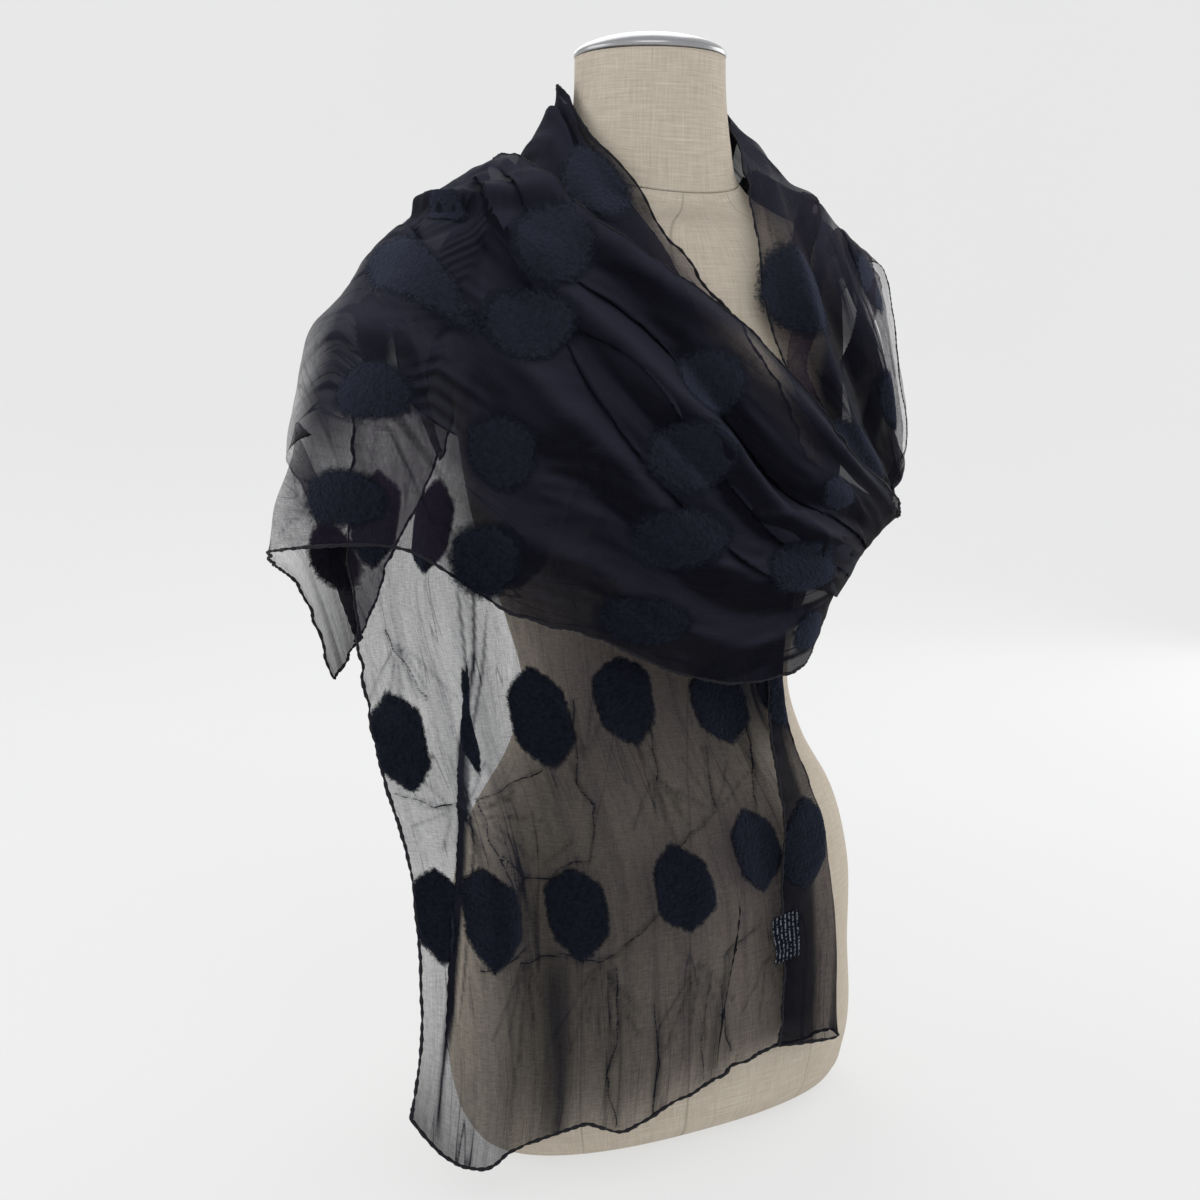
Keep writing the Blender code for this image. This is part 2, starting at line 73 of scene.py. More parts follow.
# Felt dots, and how they lie: hung in one layer of cloth, or laid on top of the pleats.
DOT_LONG, DOT_WIDE, DOT_THICK = 7.6, 4.9, 0.13
RIM_WAVES = ((2, 0.035), (3, 0.025), (11, 0.012), (19, 0.008))    # count and height
LAID_FROM = 55
# The last value of a lie is painted light: it is added to its dots' painted top light, so laid dots get a
# lighter colour and hung ones a darker one.
Lay = namedtuple("Lay", "corners wider thicker rim light")
HUNG = Lay(0.72, 1.0, 1.0, 1.0, -0.2)
LAID = Lay(0.20, 1.14, 0.6, 0.5, 0.10)

LABEL_LONG, LABEL_WIDE = 3.9, 2.4

FORM_RING = 144            # points round the form
SHOULDER_TOP = 74.6
TORSO_TOP = 80.4
NECK_TOP = 89.2
SEAM_TILT = 0.33           # how far the neck's seam rises to the back
CAP_RADIUS = 6.16
TORSO_SEAMS = (-95, 90, -125, -60, 5, 175, 125, 55)    # where the seams lie, in degrees
NECK_SEAMS = (-118, 62)

# ---------------------------------------------------------------- the form's sections
Oval = namedtuple("Oval", "z half_w mid_y front back power")
FORM = [
    Oval(0.0, 14.8, -2.3, 5.7, 8.3, 2.35),
    Oval(0.6, 16.5, -2.3, 7.3, 10.0, 2.4),
    Oval(1.9, 17.7, -2.3, 8.6, 11.2, 2.4),
    Oval(3.8, 18.3, -2.3, 9.1, 11.8, 2.4),
    Oval(14.0, 18.4, -2.3, 9.4, 11.8, 2.4),
    Oval(22.0, 18.1, -2.2, 9.4, 11.6, 2.4),
    Oval(28.0, 16.4, -2.1, 8.8, 10.4, 2.35),
    Oval(33.0, 13.5, -2.0, 7.6, 8.2, 2.3),
    Oval(38.0, 12.0, -1.8, 7.4, 7.2, 2.25),
    Oval(44.0, 13.2, -1.6, 8.4, 8.0, 2.25),
    Oval(50.0, 15.2, -1.4, 10.2, 9.6, 2.3),
    Oval(56.0, 16.3, -1.0, 11.6, 10.4, 2.35),
    Oval(62.0, 16.9, -0.6, 11.0, 10.6, 2.4),
    Oval(68.0, 17.6, -0.2, 9.6, 9.8, 2.4),
    Oval(72.0, 17.6, 0.0, 8.2, 8.3, 2.4),
    Oval(74.6, 16.6, 0.0, 6.9, 6.9, 2.3),
    Oval(76.6, 14.0, 0.0, 6.4, 6.4, 2.15),
    Oval(78.4, 10.0, 0.0, 6.6, 6.5, 2.0),
    Oval(80.4, 7.6, 0.0, 6.6, 6.3, 2.0),
    Oval(83.0, 6.7, 0.0, 6.3, 6.0, 2.0),
    Oval(86.5, 6.2, 0.0, 6.1, 6.0, 2.0),
    Oval(NECK_TOP, 6.1, 0.0, 6.1, 6.1, 2.0),
]
FORM_Z = [oval.z for oval in FORM]
FORM_SIZES = [oval[1:] for oval in FORM]

# ---------------------------------------------------------------- the scarf's sections
Section = namedtuple("Section", "along off outer middle inner")
SCARF = [
    # front panel, from its hem up to the right shoulder
    Section(0, 0.41, (-25.6, -8.6, 3.2), (-9.5, -13.4, 4.0), (11.3, -12.3, 8.5)),
    Section(8, 0.41, (-24.4, -8.2, 13.6), (-9.1, -13.4, 13.4), (11.5, -12.3, 17.2)),
    Section(16, 0.41, (-24.4, -7.5, 24.0), (-8.8, -13.2, 23.0), (10.2, -12.5, 25.6)),
    Section(32, 0.41, (-26.1, -3.6, 37.2), (-12.0, -12.0, 39.3), (4.4, -13.7, 40.3)),
    Section(48, 0.41, (-25.6, 2.2, 50.4), (-13.5, -10.7, 52.0), (7.1, -13.6, 55.1)),
    Section(62, 0.41, (-24.2, 2.6, 63.8), (-13.6, -8.8, 67.2), (3.2, -11.6, 66.2)),
    Section(72, 0.41, (-22.0, 2.4, 69.2), (-13.5, -6.2, 73.8), (-2.4, -8.2, 74.2)),
    Section(82, 0.8, (-20.4, 4.8, 71.0), (-11.8, -0.3, 78.6), (-7.0, 0.1, 85.6)),
    # behind the neck
    Section(96, 0.8, (-16.2, 11.2, 61.0), (-10.4, 8.4, 72.5), (-5.2, 5.2, 86.0)),
    Section(110, 0.41, (0.0, 12.2, 55.0), (0.0, 11.2, 70.0), (0.0, 7.4, 86.3)),
    Section(124, 0.41, (17.5, 10.5, 60.0), (11.0, 8.8, 72.5), (5.3, 5.2, 86.0)),
    Section(138, 0.41, (24.0, 2.4, 73.5), (15.5, 0.9, 79.2), (7.3, 0.1, 85.6)),
    # left front, down to the turn at the left side
    Section(148, 0.41, (25.9, 1.2, 69.5), (13.2, -7.2, 73.2), (5.6, -7.3, 76.0)),
    Section(158, 0.41, (26.3, 0.0, 63.5), (15.2, -9.2, 66.4), (4.9, -11.0, 67.7)),
    Section(168, 0.41, (26.9, -0.6, 58.0), (19.0, -7.2, 59.0), (8.7, -12.3, 59.9)),
    Section(176, 0.41, (26.6, 0.0, 55.5), (22.2, -4.9, 55.3), (15.5, -9.8, 54.4)),
    Section(181, 0.41, (25.6, 0.5, 54.1), (23.7, -2.6, 53.2), (21.2, -5.7, 51.9)),
    # wrap, up across the chest
    Section(185, 2.2, (21.6, 2.4, 48.5), (21.6, -1.4, 50.6), (21.6, -5.9, 52.8)),
    Section(190, 2.2, (18.6, -1.2, 44.9), (18.9, -4.0, 48.6), (20.7, -7.2, 51.8)),
    Section(196, 2.2, (12.2, -8.0, 42.7), (14.9, -9.8, 49.0), (18.2, -10.2, 53.7)),
    Section(204, 2.2, (5.2, -16.0, 41.6), (7.6, -16.1, 51.2), (11.0, -13.6, 58.0)),
    Section(212, 2.2, (-1.6, -16.7, 41.1), (0.2, -16.6, 52.5), (6.3, -14.1, 62.9)),
    Section(220, 2.2, (-6.9, -15.9, 42.5), (-5.3, -16.0, 55.3), (0.7, -13.1, 68.0)),
    Section(228, 2.2, (-12.1, -14.2, 45.1), (-11.2, -14.4, 58.9), (-4.9, -11.3, 71.9)),
    # cape, over the right shoulder
    Section(236, 2.2, (-17.9, -11.4, 47.1), (-16.6, -11.0, 60.8), (-10.2, -8.0, 76.1)),
    Section(245, 2.2, (-25.0, -7.2, 51.8), (-23.0, -6.2, 68.8), (-12.4, -1.0, 80.8)),
    Section(253, 2.2, (-31.0, -0.5, 51.4), (-24.8, -1.0, 70.4), (-13.0, 2.3, 80.8)),
    # back end, down behind the right shoulder
    Section(261, 2.2, (-31.2, 6.5, 49.8), (-25.0, 5.0, 70.2), (-12.1, 5.4, 80.0)),
    Section(270, 2.2, (-26.7, 11.9, 46.2), (-22.0, 10.9, 65.6), (-9.6, 10.3, 80.1)),
    Section(279, 2.2, (-23.3, 14.6, 37.5), (-15.7, 14.8, 51.2), (-5.9, 14.4, 74.6)),
]
SCARF_ALONG = [row.along for row in SCARF]
SCARF_EDGES = [(row.outer, row.middle, row.inner) for row in SCARF]
SCARF_OFF = [row.off for row in SCARF]
HEM_ACROSS = (0.0, 0.08, 0.17, 0.25, 0.33, 0.42, 0.50, 0.56, 0.67, 0.83, 1.0)
HEM_RISE = (4.2, 1.2, 0.5, 1.3, 1.9, 2.2, 0.6, 1.0, 1.9, 1.7, 0.0)
HEM_REACH = 14.0

# The stretches in the order that they are wound, where each starts and stops, and the
# nodes that each stands for.
Stretch = namedtuple("Stretch", "name start stop nodes rests_on")
STRETCHES = [
    Stretch("front_panel", 0, 82, ("scarf_front_panel", "scarf_folded_edge"), ("form_linen",)),
    Stretch("neck_back", 82, 138, ("scarf_neck_back",), ("form_linen",)),
    Stretch("left_front", 138, 181, ("scarf_left_front",), ("form_linen",)),
    Stretch("wrap", 181, 228, ("scarf_wrap",), ("front_panel", "left_front")),
    Stretch("cape", 228, 253, ("scarf_cape",), ("front_panel",)),
    Stretch("back_end", 253, 279, ("scarf_back_end",), ("neck_back",)),
]

# Pleats, where the cloth is laid over itself in three layers: the path of each, its depth,
# its share of the cloth still to be taken up, and the space between its layers (less than
# zero where the outer part of the cloth lies on top).
Pleat = namedtuple("Pleat", "path deep share apart")
PLEATS = [
    # front panel
    Pleat(((3, 0.055), (12, 0.08), (18, 0.11), (26, 0.17), (34, 0.24), (42, 0.28)), 0.8, 0.0, 0.14),
    Pleat(((-4, 0.72), (6, 0.73), (13, 0.77), (20, 0.79)), 0.35, 0.0, 0.14),
    Pleat(((44, 0.86), (60, 0.80), (86, 0.72)), 0.3, 0.5, -0.25),
    Pleat(((46, 0.60), (60, 0.56), (86, 0.50)), 0.2, 0.5, 0.25),
    # behind the neck
    Pleat(((70, 0.36), (96, 0.40), (120, 0.42), (142, 0.40)), 0.3, 1.0, 0.3),
    Pleat(((72, 0.66), (96, 0.68), (120, 0.68), (136, 0.70)), 0.3, 1.0, -0.3),
    # left front
    Pleat(((134, 0.38), (140, 0.43), (148, 0.57), (155, 0.70), (161, 0.82), (167, 0.90), (186, 0.95)),
          0.7, 0.2, 0.3),
    Pleat(((130, 0.18), (142, 0.22), (150, 0.28), (157, 0.38), (165, 0.54), (174, 0.68), (192, 0.75)),
          0.5, 0.8, 0.3),
    Pleat(((130, 0.10), (148, 0.11), (164, 0.16), (178, 0.34), (192, 0.40)), 0.2, 0.7, -0.3),
    # wrap and cape
    Pleat(((180, 0.62), (196, 0.64), (208, 0.68), (216, 0.76), (224, 0.83), (232, 0.89), (246, 0.93)),
          0.2, 0.8, 0.4),
    Pleat(((180, 0.50), (196, 0.49), (208, 0.53), (213, 0.60), (221, 0.68), (229, 0.78), (240, 0.86),
           (250, 0.89)), 0.2, 1.0, 0.45),
    Pleat(((180, 0.38), (198, 0.38), (209, 0.42), (215, 0.47), (222, 0.52), (228, 0.60), (236, 0.76)),
          0.2, 1.0, 0.4),
    # back end
    Pleat(((246, 0.66), (262, 0.66), (284, 0.64)), 0.2, 0.6, -0.3),
    Pleat(((252, 0.20), (264, 0.20), (284, 0.16)), 0.2, 0.6, 0.3),
]

# Folds: the path of each, its half width across, and how far it stands out (less than zero
# for a valley).
Fold = namedtuple("Fold", "path half depth")
FOLDS = [
    # front panel
    Fold(((-6, 0.17), (60, 0.24)), 0.055, 1.3),
    Fold(((-6, 0.27), (50, 0.33)), 0.050, -0.7),
    Fold(((14, 0.52), (82, 0.42)), 0.060, 0.6),
    Fold(((-6, 0.66), (30, 0.70)), 0.055, 0.6),
    Fold(((-6, 0.86), (36, 0.84)), 0.050, -0.6),
    Fold(((40, 0.72), (82, 0.66)), 0.070, -0.5),
    # behind the neck, then the left front
    Fold(((82, 0.30), (138, 0.34)), 0.070, 0.8),
    Fold(((82, 0.52), (138, 0.50)), 0.060, -0.7),
    Fold(((82, 0.72), (138, 0.70)), 0.070, 0.7),
    Fold(((138, 0.84), (176, 0.80)), 0.060, 0.9),
    Fold(((138, 0.66), (180, 0.60)), 0.060, -0.9),
    Fold(((138, 0.48), (180, 0.44)), 0.065, 0.9),
    Fold(((140, 0.28), (180, 0.26)), 0.060, -0.8),
    # wrap: the two ridges under its neckline with the deep valley between, then the softer ones
    Fold(((188, 0.90), (212, 0.93), (230, 0.97), (246, 0.98)), 0.040, 0.9),
    Fold(((188, 0.70), (200, 0.66), (209, 0.66), (221, 0.80), (228, 0.88), (236, 0.95)), 0.045, -1.1),
    Fold(((196, 0.50), (208, 0.55), (215, 0.67), (225, 0.72), (234, 0.82), (244, 0.82)), 0.040, 1.1),
    Fold(((200, 0.42), (209, 0.47), (217, 0.57), (226, 0.64), (234, 0.74)), 0.035, -0.8),
    Fold(((200, 0.36), (211, 0.36), (220, 0.40), (228, 0.50), (236, 0.62), (242, 0.66)), 0.045, 0.9),
    Fold(((202, 0.24), (213, 0.24), (222, 0.30), (230, 0.40), (240, 0.50)), 0.045, -0.7),
    Fold(((206, 0.13), (222, 0.14), (234, 0.22), (242, 0.26)), 0.050, 0.6),
    # cape and back end
    Fold(((240, 0.46), (252, 0.42), (262, 0.40)), 0.050, 0.7),
    Fold(((253, 0.70), (285, 0.66)), 0.070, -0.5),
    Fold(((257, 0.40), (285, 0.42)), 0.070, 0.9),
    Fold(((253, 0.16), (285, 0.20)), 0.060, -0.7),
]

# The inner edge's margin that is turned back over the front: how wide it is at distances
# along, the radius of its turn, and how much the turn stands open at the scarf's end.
MARGIN_ALONG = (0, 8, 16, 20, 24, 32, 40, 50, 279)
MARGIN_WIDE = (6.0, 6.0, 5.6, 4.8, 4.0, 2.4, 1.3, 0.0, 0.0)
MARGIN_ROUND = 0.30
MARGIN_GAPE = 0.42

# How wavy and how thick the two long edges are at distances along.
EDGE_ALONG = (0, 72, 80, 96, 130, 140, 182, 200, 212, 240, 256, 279)
OUTER_EDGE = (1.0, 1.0, 1.0, 0.6, 0.6, 0.05, 0.05, 0.25, 0.9, 1.1, 0.9, 0.9)
INNER_EDGE = (1.0, 0.8, 0.15, 0.15, 0.3, 0.7, 0.7, 0.5, 0.5, 0.4, 0.25, 0.9)

# Felt dots: where each lies, how long and wide it is for its kind, and how far it is turned,
# in degrees.  The dots on the turned margin are given from the flat cloth's inner edge.
Dot = namedtuple("Dot", "along across long wide turn", defaults=(1.0, 1.0, 0.0))
DOTS = [
    Dot(15.9, 0.06), Dot(16.4, 0.18), Dot(16.4, 0.38), Dot(16.9, 0.63), Dot(17.8, 0.83),
    Dot(30.9, 0.06), Dot(32.4, 0.220, 1.0, 0.22), Dot(31.9, 0.39), Dot(32.5, 0.595), Dot(30.8, 0.83),
    Dot(50.5, 0.07), Dot(49.7, 0.225, 0.95, 0.75), Dot(48.3, 0.42), Dot(48.3, 0.62), Dot(48.3, 0.82),
    Dot(62.5, 0.48), Dot(62.5, 0.76), Dot(76.5, 0.81),
    Dot(94, 0.28), Dot(94, 0.64), Dot(110, 0.20), Dot(110, 0.46), Dot(110, 0.76),
    Dot(126, 0.28), Dot(126, 0.64),
    Dot(147, 0.19, 0.8, 0.7), Dot(154.1, 0.855, 0.95, 1.1, 18), Dot(164.2, 0.45, 0.8, 0.7),
    Dot(171, 0.86, 1.1, 1.2),
    Dot(204.5, 0.14, 0.6, 0.55), Dot(207, 0.40, 0.92, 0.72), Dot(205, 0.73, 0.5, 0.45),
    Dot(223.3, 0.11, 1.25, 0.70, -27), Dot(220.3, 0.38, 1.30, 0.80, -31), Dot(221, 0.60, 1.15, 0.95, -37),
    Dot(221, 0.82, 0.86, 0.85, -34),
    Dot(238, 0.105, 1.12, 0.80, -42), Dot(237.2, 0.40, 1.05, 0.85, -45), Dot(237.2, 0.71, 1.25, 0.88, -40),
    Dot(237.2, 0.895, 1.12, 0.95, -47),
    Dot(249, 0.085, 1.0, 0.84, 3), Dot(247.5, 0.30, 0.95, 0.80, -18), Dot(248.5, 0.585, 1.3, 0.85, -5),
    Dot(247.5, 0.755, 0.75, 0.4, -36),
    Dot(270.5, 0.58, 0.9, 0.8), Dot(266, 0.72), Dot(274, 0.18, 1.4, 0.70, 41),
]
MARGIN_DOTS = [(17.0, 2.3), (32.0, 1.6)]
Placed = namedtuple("Placed", "along flat across kind")

# How much light one layer lets through at distances along, at five even places from the
# outer edge to the inner edge.
Weave = namedtuple("Weave", "along clear")
THROUGH = [
    Weave(0, (0.14, 0.36, 0.46, 0.46, 0.44)),
    Weave(6, (0.36, 0.37, 0.43, 0.48, 0.45)),
    Weave(28, (0.43, 0.38, 0.42, 0.44, 0.42)),
    Weave(42, (0.45, 0.45, 0.45, 0.42, 0.40)),
    Weave(52, (0.45, 0.38, 0.30, 0.28, 0.36)),
    Weave(60, (0.45, 0.32, 0.22, 0.24, 0.46)),
    Weave(72, (0.42, 0.25, 0.18, 0.20, 0.46)),
    Weave(82, (0.30, 0.12, 0.07, 0.05, 0.06)),
    Weave(96, (0.42, 0.20, 0.12, 0.08, 0.08)),
    Weave(110, (0.42, 0.34, 0.30, 0.22, 0.12)),
    Weave(124, (0.46, 0.42, 0.38, 0.16, 0.07)),
    Weave(132, (0.46, 0.40, 0.36, 0.12, 0.05)),
    Weave(139, (0.50, 0.40, 0.34, 0.16, 0.05)),
    Weave(145, (0.60, 0.50, 0.46, 0.40, 0.20)),
    Weave(150, (0.68, 0.58, 0.48, 0.50, 0.44)),
    Weave(165, (0.72, 0.66, 0.38, 0.40, 0.42)),
    Weave(174, (0.72, 0.62, 0.32, 0.14, 0.10)),
    Weave(182, (0.14, 0.12, 0.10, 0.08, 0.10)),
    Weave(190, (0.10, 0.08, 0.07, 0.07, 0.10)),
    Weave(203, (0.07, 0.05, 0.05, 0.06, 0.10)),
    Weave(212, (0.12, 0.08, 0.06, 0.06, 0.14)),
    Weave(228, (0.20, 0.12, 0.10, 0.06, 0.08)),
    Weave(238, (0.34, 0.14, 0.05, 0.04, 0.05)),
    Weave(244, (0.62, 0.40, 0.07, 0.04, 0.04)),
    Weave(249, (0.66, 0.09, 0.02, 0.03, 0.04)),
    Weave(255, (0.68, 0.12, 0.02, 0.03, 0.04)),
    Weave(258, (0.70, 0.52, 0.14, 0.05, 0.04)),
    Weave(261, (0.70, 0.70, 0.55, 0.12, 0.05)),
    Weave(270, (0.48, 0.42, 0.62, 0.45, 0.30)),
    Weave(279, (0.22, 0.20, 0.38, 0.45, 0.42)),
]

# Places where the cloth lies more open or closer: how long and wide each is, and how clear.
Window = namedtuple("Window", "along across long wide clear")
WINDOWS = [
    Window(140.5, 0.81, 3.5, 0.8, 0.45), Window(148.2, 0.93, 2.6, 1.3, 0.60),
    Window(142, 0.50, 2.5, 1.2, 0.60), Window(158.5, 0.94, 4.5, 2.0, 0.68),
    Window(157, 0.69, 6.0, 1.5, 0.40), Window(155, 0.57, 8.0, 2.2, 0.10),
    Window(174, 0.38, 5.0, 2.2, 0.55), Window(218, 0.94, 4.0, 1.1, 0.42),
    Window(163.5, 0.79, 5.0, 2.2, 0.08), Window(33.5, 0.94, 7.0, 5.0, 0.05),
    Window(228, 0.47, 9.0, 3.0, 0.16), Window(244.5, 0.20, 3.6, 3.4, 0.56),
]

# Where the cloth is bunched into a dark cord: its path, half width and how much it darkens.
Bunch = namedtuple("Bunch", "path half dark")
BUNCHES = [
    Bunch(((6, 0.058), (12, 0.08), (18, 0.11), (26, 0.17), (34, 0.24)), 0.42, 0.95),
    Bunch(((0, 0.062), (6, 0.058), (12, 0.08)), 0.20, 0.85),
    Bunch(((31, 0.215), (38, 0.27), (47, 0.31)), 0.14, 0.75),
    Bunch(((31, 0.225), (38, 0.255), (47, 0.275)), 0.12, 0.7),
    Bunch(((22, 0.15), (28, 0.20), (36, 0.275), (44, 0.33)), 0.12, 0.6),
    Bunch(((8, 0.09), (16, 0.125), (24, 0.175), (30, 0.20)), 0.12, 0.6),
    Bunch(((-2, 0.335), (6, 0.335), (15, 0.315)), 1.4, 0.56),
    Bunch(((-1, 0.455), (6, 0.455), (13, 0.45)), 0.16, 0.35),
    Bunch(((-1, 0.485), (6, 0.485), (13, 0.46)), 0.20, 0.35),
    Bunch(((-1, 0.57), (5, 0.575), (9, 0.58)), 0.45, 0.28),
    Bunch(((-1, 0.70), (6, 0.71), (12, 0.745)), 0.6, 0.38),
    Bunch(((138, 0.41), (148, 0.57), (155, 0.70), (161, 0.82), (168, 0.91)), 0.7, 0.8),
    Bunch(((140, 0.22), (150, 0.28), (157, 0.37), (165, 0.54), (174, 0.68)), 0.8, 0.72),
    Bunch(((142, 0.50), (150, 0.48), (160, 0.50), (170, 0.62)), 0.16, 0.6),
    Bunch(((240, 0.20), (246, 0.28), (252, 0.36)), 0.5, 0.5),
    Bunch(((241, 0.05), (244, 0.18), (248, 0.30)), 0.3, 0.6),
]

# Creases laid one by one: the path of each, its half width and its height.
Crease = namedtuple("Crease", "path half rise")
CREASES = [
    Crease(((19, 0.26), (18.7, 0.32), (20, 0.38), (20, 0.42)), 0.26, 0.14),
    Crease(((13, 0.38), (13.2, 0.46), (14.2, 0.51), (15.4, 0.56)), 0.28, 0.16),
    Crease(((19.2, 0.60), (20.8, 0.66), (22.3, 0.74), (23.8, 0.74), (27.4, 0.76)), 0.26, 0.18),
    Crease(((14, 0.25), (12.8, 0.15)), 0.24, 0.12),
    Crease(((25.6, 0.20), (26.2, 0.27), (27.4, 0.36)), 0.24, 0.12),
    Crease(((33, 0.47), (29.5, 0.455), (26.2, 0.435), (24.2, 0.46), (20.2, 0.42)), 0.26, 0.16),
    Crease(((10.8, 0.72), (11.6, 0.82)), 0.26, -0.16),
    Crease(((11, 0.72), (7, 0.715), (2, 0.75)), 0.26, 0.20),
    Crease(((12.4, 0.46), (8.6, 0.48), (4.6, 0.455), (0.6, 0.48)), 0.30, 0.16),
    Crease(((21, 0.22), (19, 0.26)), 0.22, 0.12),
    Crease(((25.5, 0.20), (22, 0.205), (18.6, 0.23)), 0.22, -0.12),
    Crease(((9, 0.56), (4.2, 0.575), (0.4, 0.565)), 0.28, 0.14),
    Crease(((10, 0.68), (5.2, 0.665), (1, 0.675)), 0.26, 0.12),
    Crease(((31, 0.90), (24.4, 0.88), (20, 0.84)), 0.26, 0.14),
    Crease(((26, 0.02), (24.8, 0.09), (25, 0.16)), 0.22, 0.12),
    Crease(((41, 0.08), (36, 0.12), (34.6, 0.14)), 0.24, 0.14),
    Crease(((13.2, 0.24), (13.6, 0.34), (13, 0.38)), 0.24, 0.14),
    Crease(((34, 0.63), (29, 0.64), (25.4, 0.625)), 0.24, 0.12),
    Crease(((243, 0.48), (241, 0.62), (242, 0.76)), 0.5, -0.35),
    Crease(((243, 0.36), (243, 0.48)), 0.4, 0.30),
    Crease(((209, 0.60), (206, 0.52), (205, 0.44)), 0.4, 0.30),
    Crease(((213, 0.55), (208, 0.60), (203, 0.66)), 0.35, 0.25),
]

# Fans of fine creases: where each starts, how many there are, how far they reach, and the
# way they point and how widely they spread, in degrees (0 is across, 90 along).
FAN_HALF = 0.17
FAN_LEAST, FAN_MOST = 0.06, 0.12       # their heights
Fan = namedtuple("Fan", "along across count reach turn spread")
FANS = [
    Fan(24.5, 0.165, 8, 6.0, 15, 170), Fan(24.5, 0.135, 5, 4.0, 180, 120),
    Fan(19.5, 0.30, 4, 5.0, 60, 120), Fan(13.2, 0.42, 7, 8.0, -85, 80),
    Fan(11.5, 0.66, 6, 7.0, -90, 70), Fan(22, 0.74, 5, 5.0, 80, 110),
    Fan(13.5, 0.25, 5, 6.0, -90, 60), Fan(28, 0.47, 5, 6.0, 90, 60),
    Fan(26, 0.62, 5, 5.0, -90, 70), Fan(9, 0.84, 4, 5.0, -90, 60),
    Fan(40, 0.10, 6, 7.0, -90, 70), Fan(243, 0.42, 5, 5.0, 0, 140),
    Fan(208, 0.47, 6, 9.0, 180, 50), Fan(196, 0.56, 6, 9.0, 90, 40),
    Fan(230, 0.50, 5, 7.0, 200, 60), Fan(252, 0.06, 5, 4.0, 60, 90),
]


# ---------------------------------------------------------------- curves and noise
def curve(knots, values, at):
    """Smooth curve through values at the knots, read at the given places and level past its ends."""
    knots = np.asarray(knots, float)
    values = np.asarray(values, float)
    slopes = np.gradient(values, knots, axis=0)
    at = np.asarray(at, float)
    k = np.clip(np.searchsorted(knots, at, side="right") - 1, 0, len(knots) - 2)
    step = knots[k + 1] - knots[k]
    u = np.clip((at - knots[k]) / step, 0.0, 1.0)
    extra = values.ndim - 1
    u = u.reshape(u.shape + (1,) * extra)
    step = step.reshape(step.shape + (1,) * extra)
    hold = (2 * u ** 3 - 3 * u ** 2 + 1) * values[k] + (3 * u ** 2 - 2 * u ** 3) * values[k + 1]
    lean = (u ** 3 - 2 * u ** 2 + u) * slopes[k] + (u ** 3 - u ** 2) * slopes[k + 1]
    return hold + lean * step


def ease(x):
    """0 to 1 with soft ends."""
    x = np.clip(x, 0.0, 1.0)
    return x * x * (3 - 2 * x)


def on_path(path, s):
    """The first and last place along of a path, and where it lies across at distances along."""
    along, across = zip(*path)
    return along[0], along[-1], curve(along, across, s)


def wander(x, y, seed):
    """Smooth noise between -1 and 1, with cells one unit wide."""
    table = np.random.RandomState(seed).uniform(-1, 1, (256, 256))
    i, j = np.floor(x).astype(int), np.floor(y).astype(int)
    u, v = ease(x - i), ease(y - j)
    a, b = table[i % 256, j % 256], table[(i + 1) % 256, j % 256]
    c, d = table[i % 256, (j + 1) % 256], table[(i + 1) % 256, (j + 1) % 256]
    return (a * (1 - u) + b * u) * (1 - v) + (c * (1 - u) + d * u) * v


# ---------------------------------------------------------------- the smooth surface
def form_reach(p):
    """How far out a point is, where 1 is on the form."""
    sizes = curve(FORM_Z, FORM_SIZES, np.clip(p[..., 2], 0.0, NECK_TOP))
    y = p[..., 1] - sizes[..., 1]
    depth = np.where(y < 0, sizes[..., 2], sizes[..., 3])
    power = sizes[..., 4]
    total = (np.abs(p[..., 0]) / sizes[..., 0]) ** power + (np.abs(y) / depth) ** power
    return total ** (1.0 / power)


def keep_clear(p, off, rounds=6):
    """Moves points out until they are at least the given space off the form."""
    for _ in range(rounds):
        reach = form_reach(p)
        steps = [(form_reach(p + d) - form_reach(p - d)) / 0.1 for d in np.eye(3) * 0.05]
        slope = np.stack(steps, axis=-1)
        size = np.maximum(np.linalg.norm(slope, axis=-1), 1e-4)
        short = np.clip(off - (reach - 1.0) / size, 0.0, 2.0)
        p = p + slope / size[..., None] * short[..., None]
    return p


def smooth_cloth(s, t):
    """Points at distances s along the scarf and t across it, before its folds."""
    rows = curve(SCARF_ALONG, SCARF_EDGES, s)
    outer, middle, inner = rows[..., 0, :], rows[..., 1, :], rows[..., 2, :]
    share = t[..., None]
    p = outer * (1 - share) * (1 - 2 * share) + middle * 4 * share * (1 - share)
    p = p + inner * share * (2 * share - 1)
    p[..., 2] += curve(HEM_ACROSS, HEM_RISE, t) * np.clip(1.0 - s / HEM_REACH, 0.0, 1.0) ** 2
    return keep_clear(p, curve(SCARF_ALONG, SCARF_OFF, s))


def smooth_normals(s, t):
    """Outward normals of the cloth before its folds."""
    along = smooth_cloth(s + STEP_ALONG, t) - smooth_cloth(s - STEP_ALONG, t)
    across = smooth_cloth(s, t + STEP_ACROSS) - smooth_cloth(s, t - STEP_ACROSS)
    normal = np.cross(across, along)
    return normal / np.linalg.norm(normal, axis=-1, keepdims=True)


def grid_normals(p):
    """Outward normals at the points of a grid."""
    normal = np.cross(np.gradient(p, axis=1), np.gradient(p, axis=0))
    return normal / np.maximum(np.linalg.norm(normal, axis=-1, keepdims=True), 1e-9)


def read_rows(table, at):
    """Each row of a table (rows, columns, ...) read at its own fractions of a column."""
    last = table.shape[1] - 1
    x = np.clip(at, 0, last)
    j = np.minimum(np.floor(x).astype(int), last - 1)
    u = x - j
    rows = np.arange(table.shape[0])[:, None]
    if table.ndim == 2:
        return table[rows, j] * (1 - u) + table[rows, j + 1] * u
    u = u[..., None]
    before, after = np.maximum(j - 1, 0), np.minimum(j + 2, last)
    a, b, c, d = table[rows, before], table[rows, j], table[rows, j + 1], table[rows, after]
    return b + 0.5 * u * (c - a + u * (2 * a - 5 * b + 4 * c - d + u * (3 * (b - c) + d - a)))


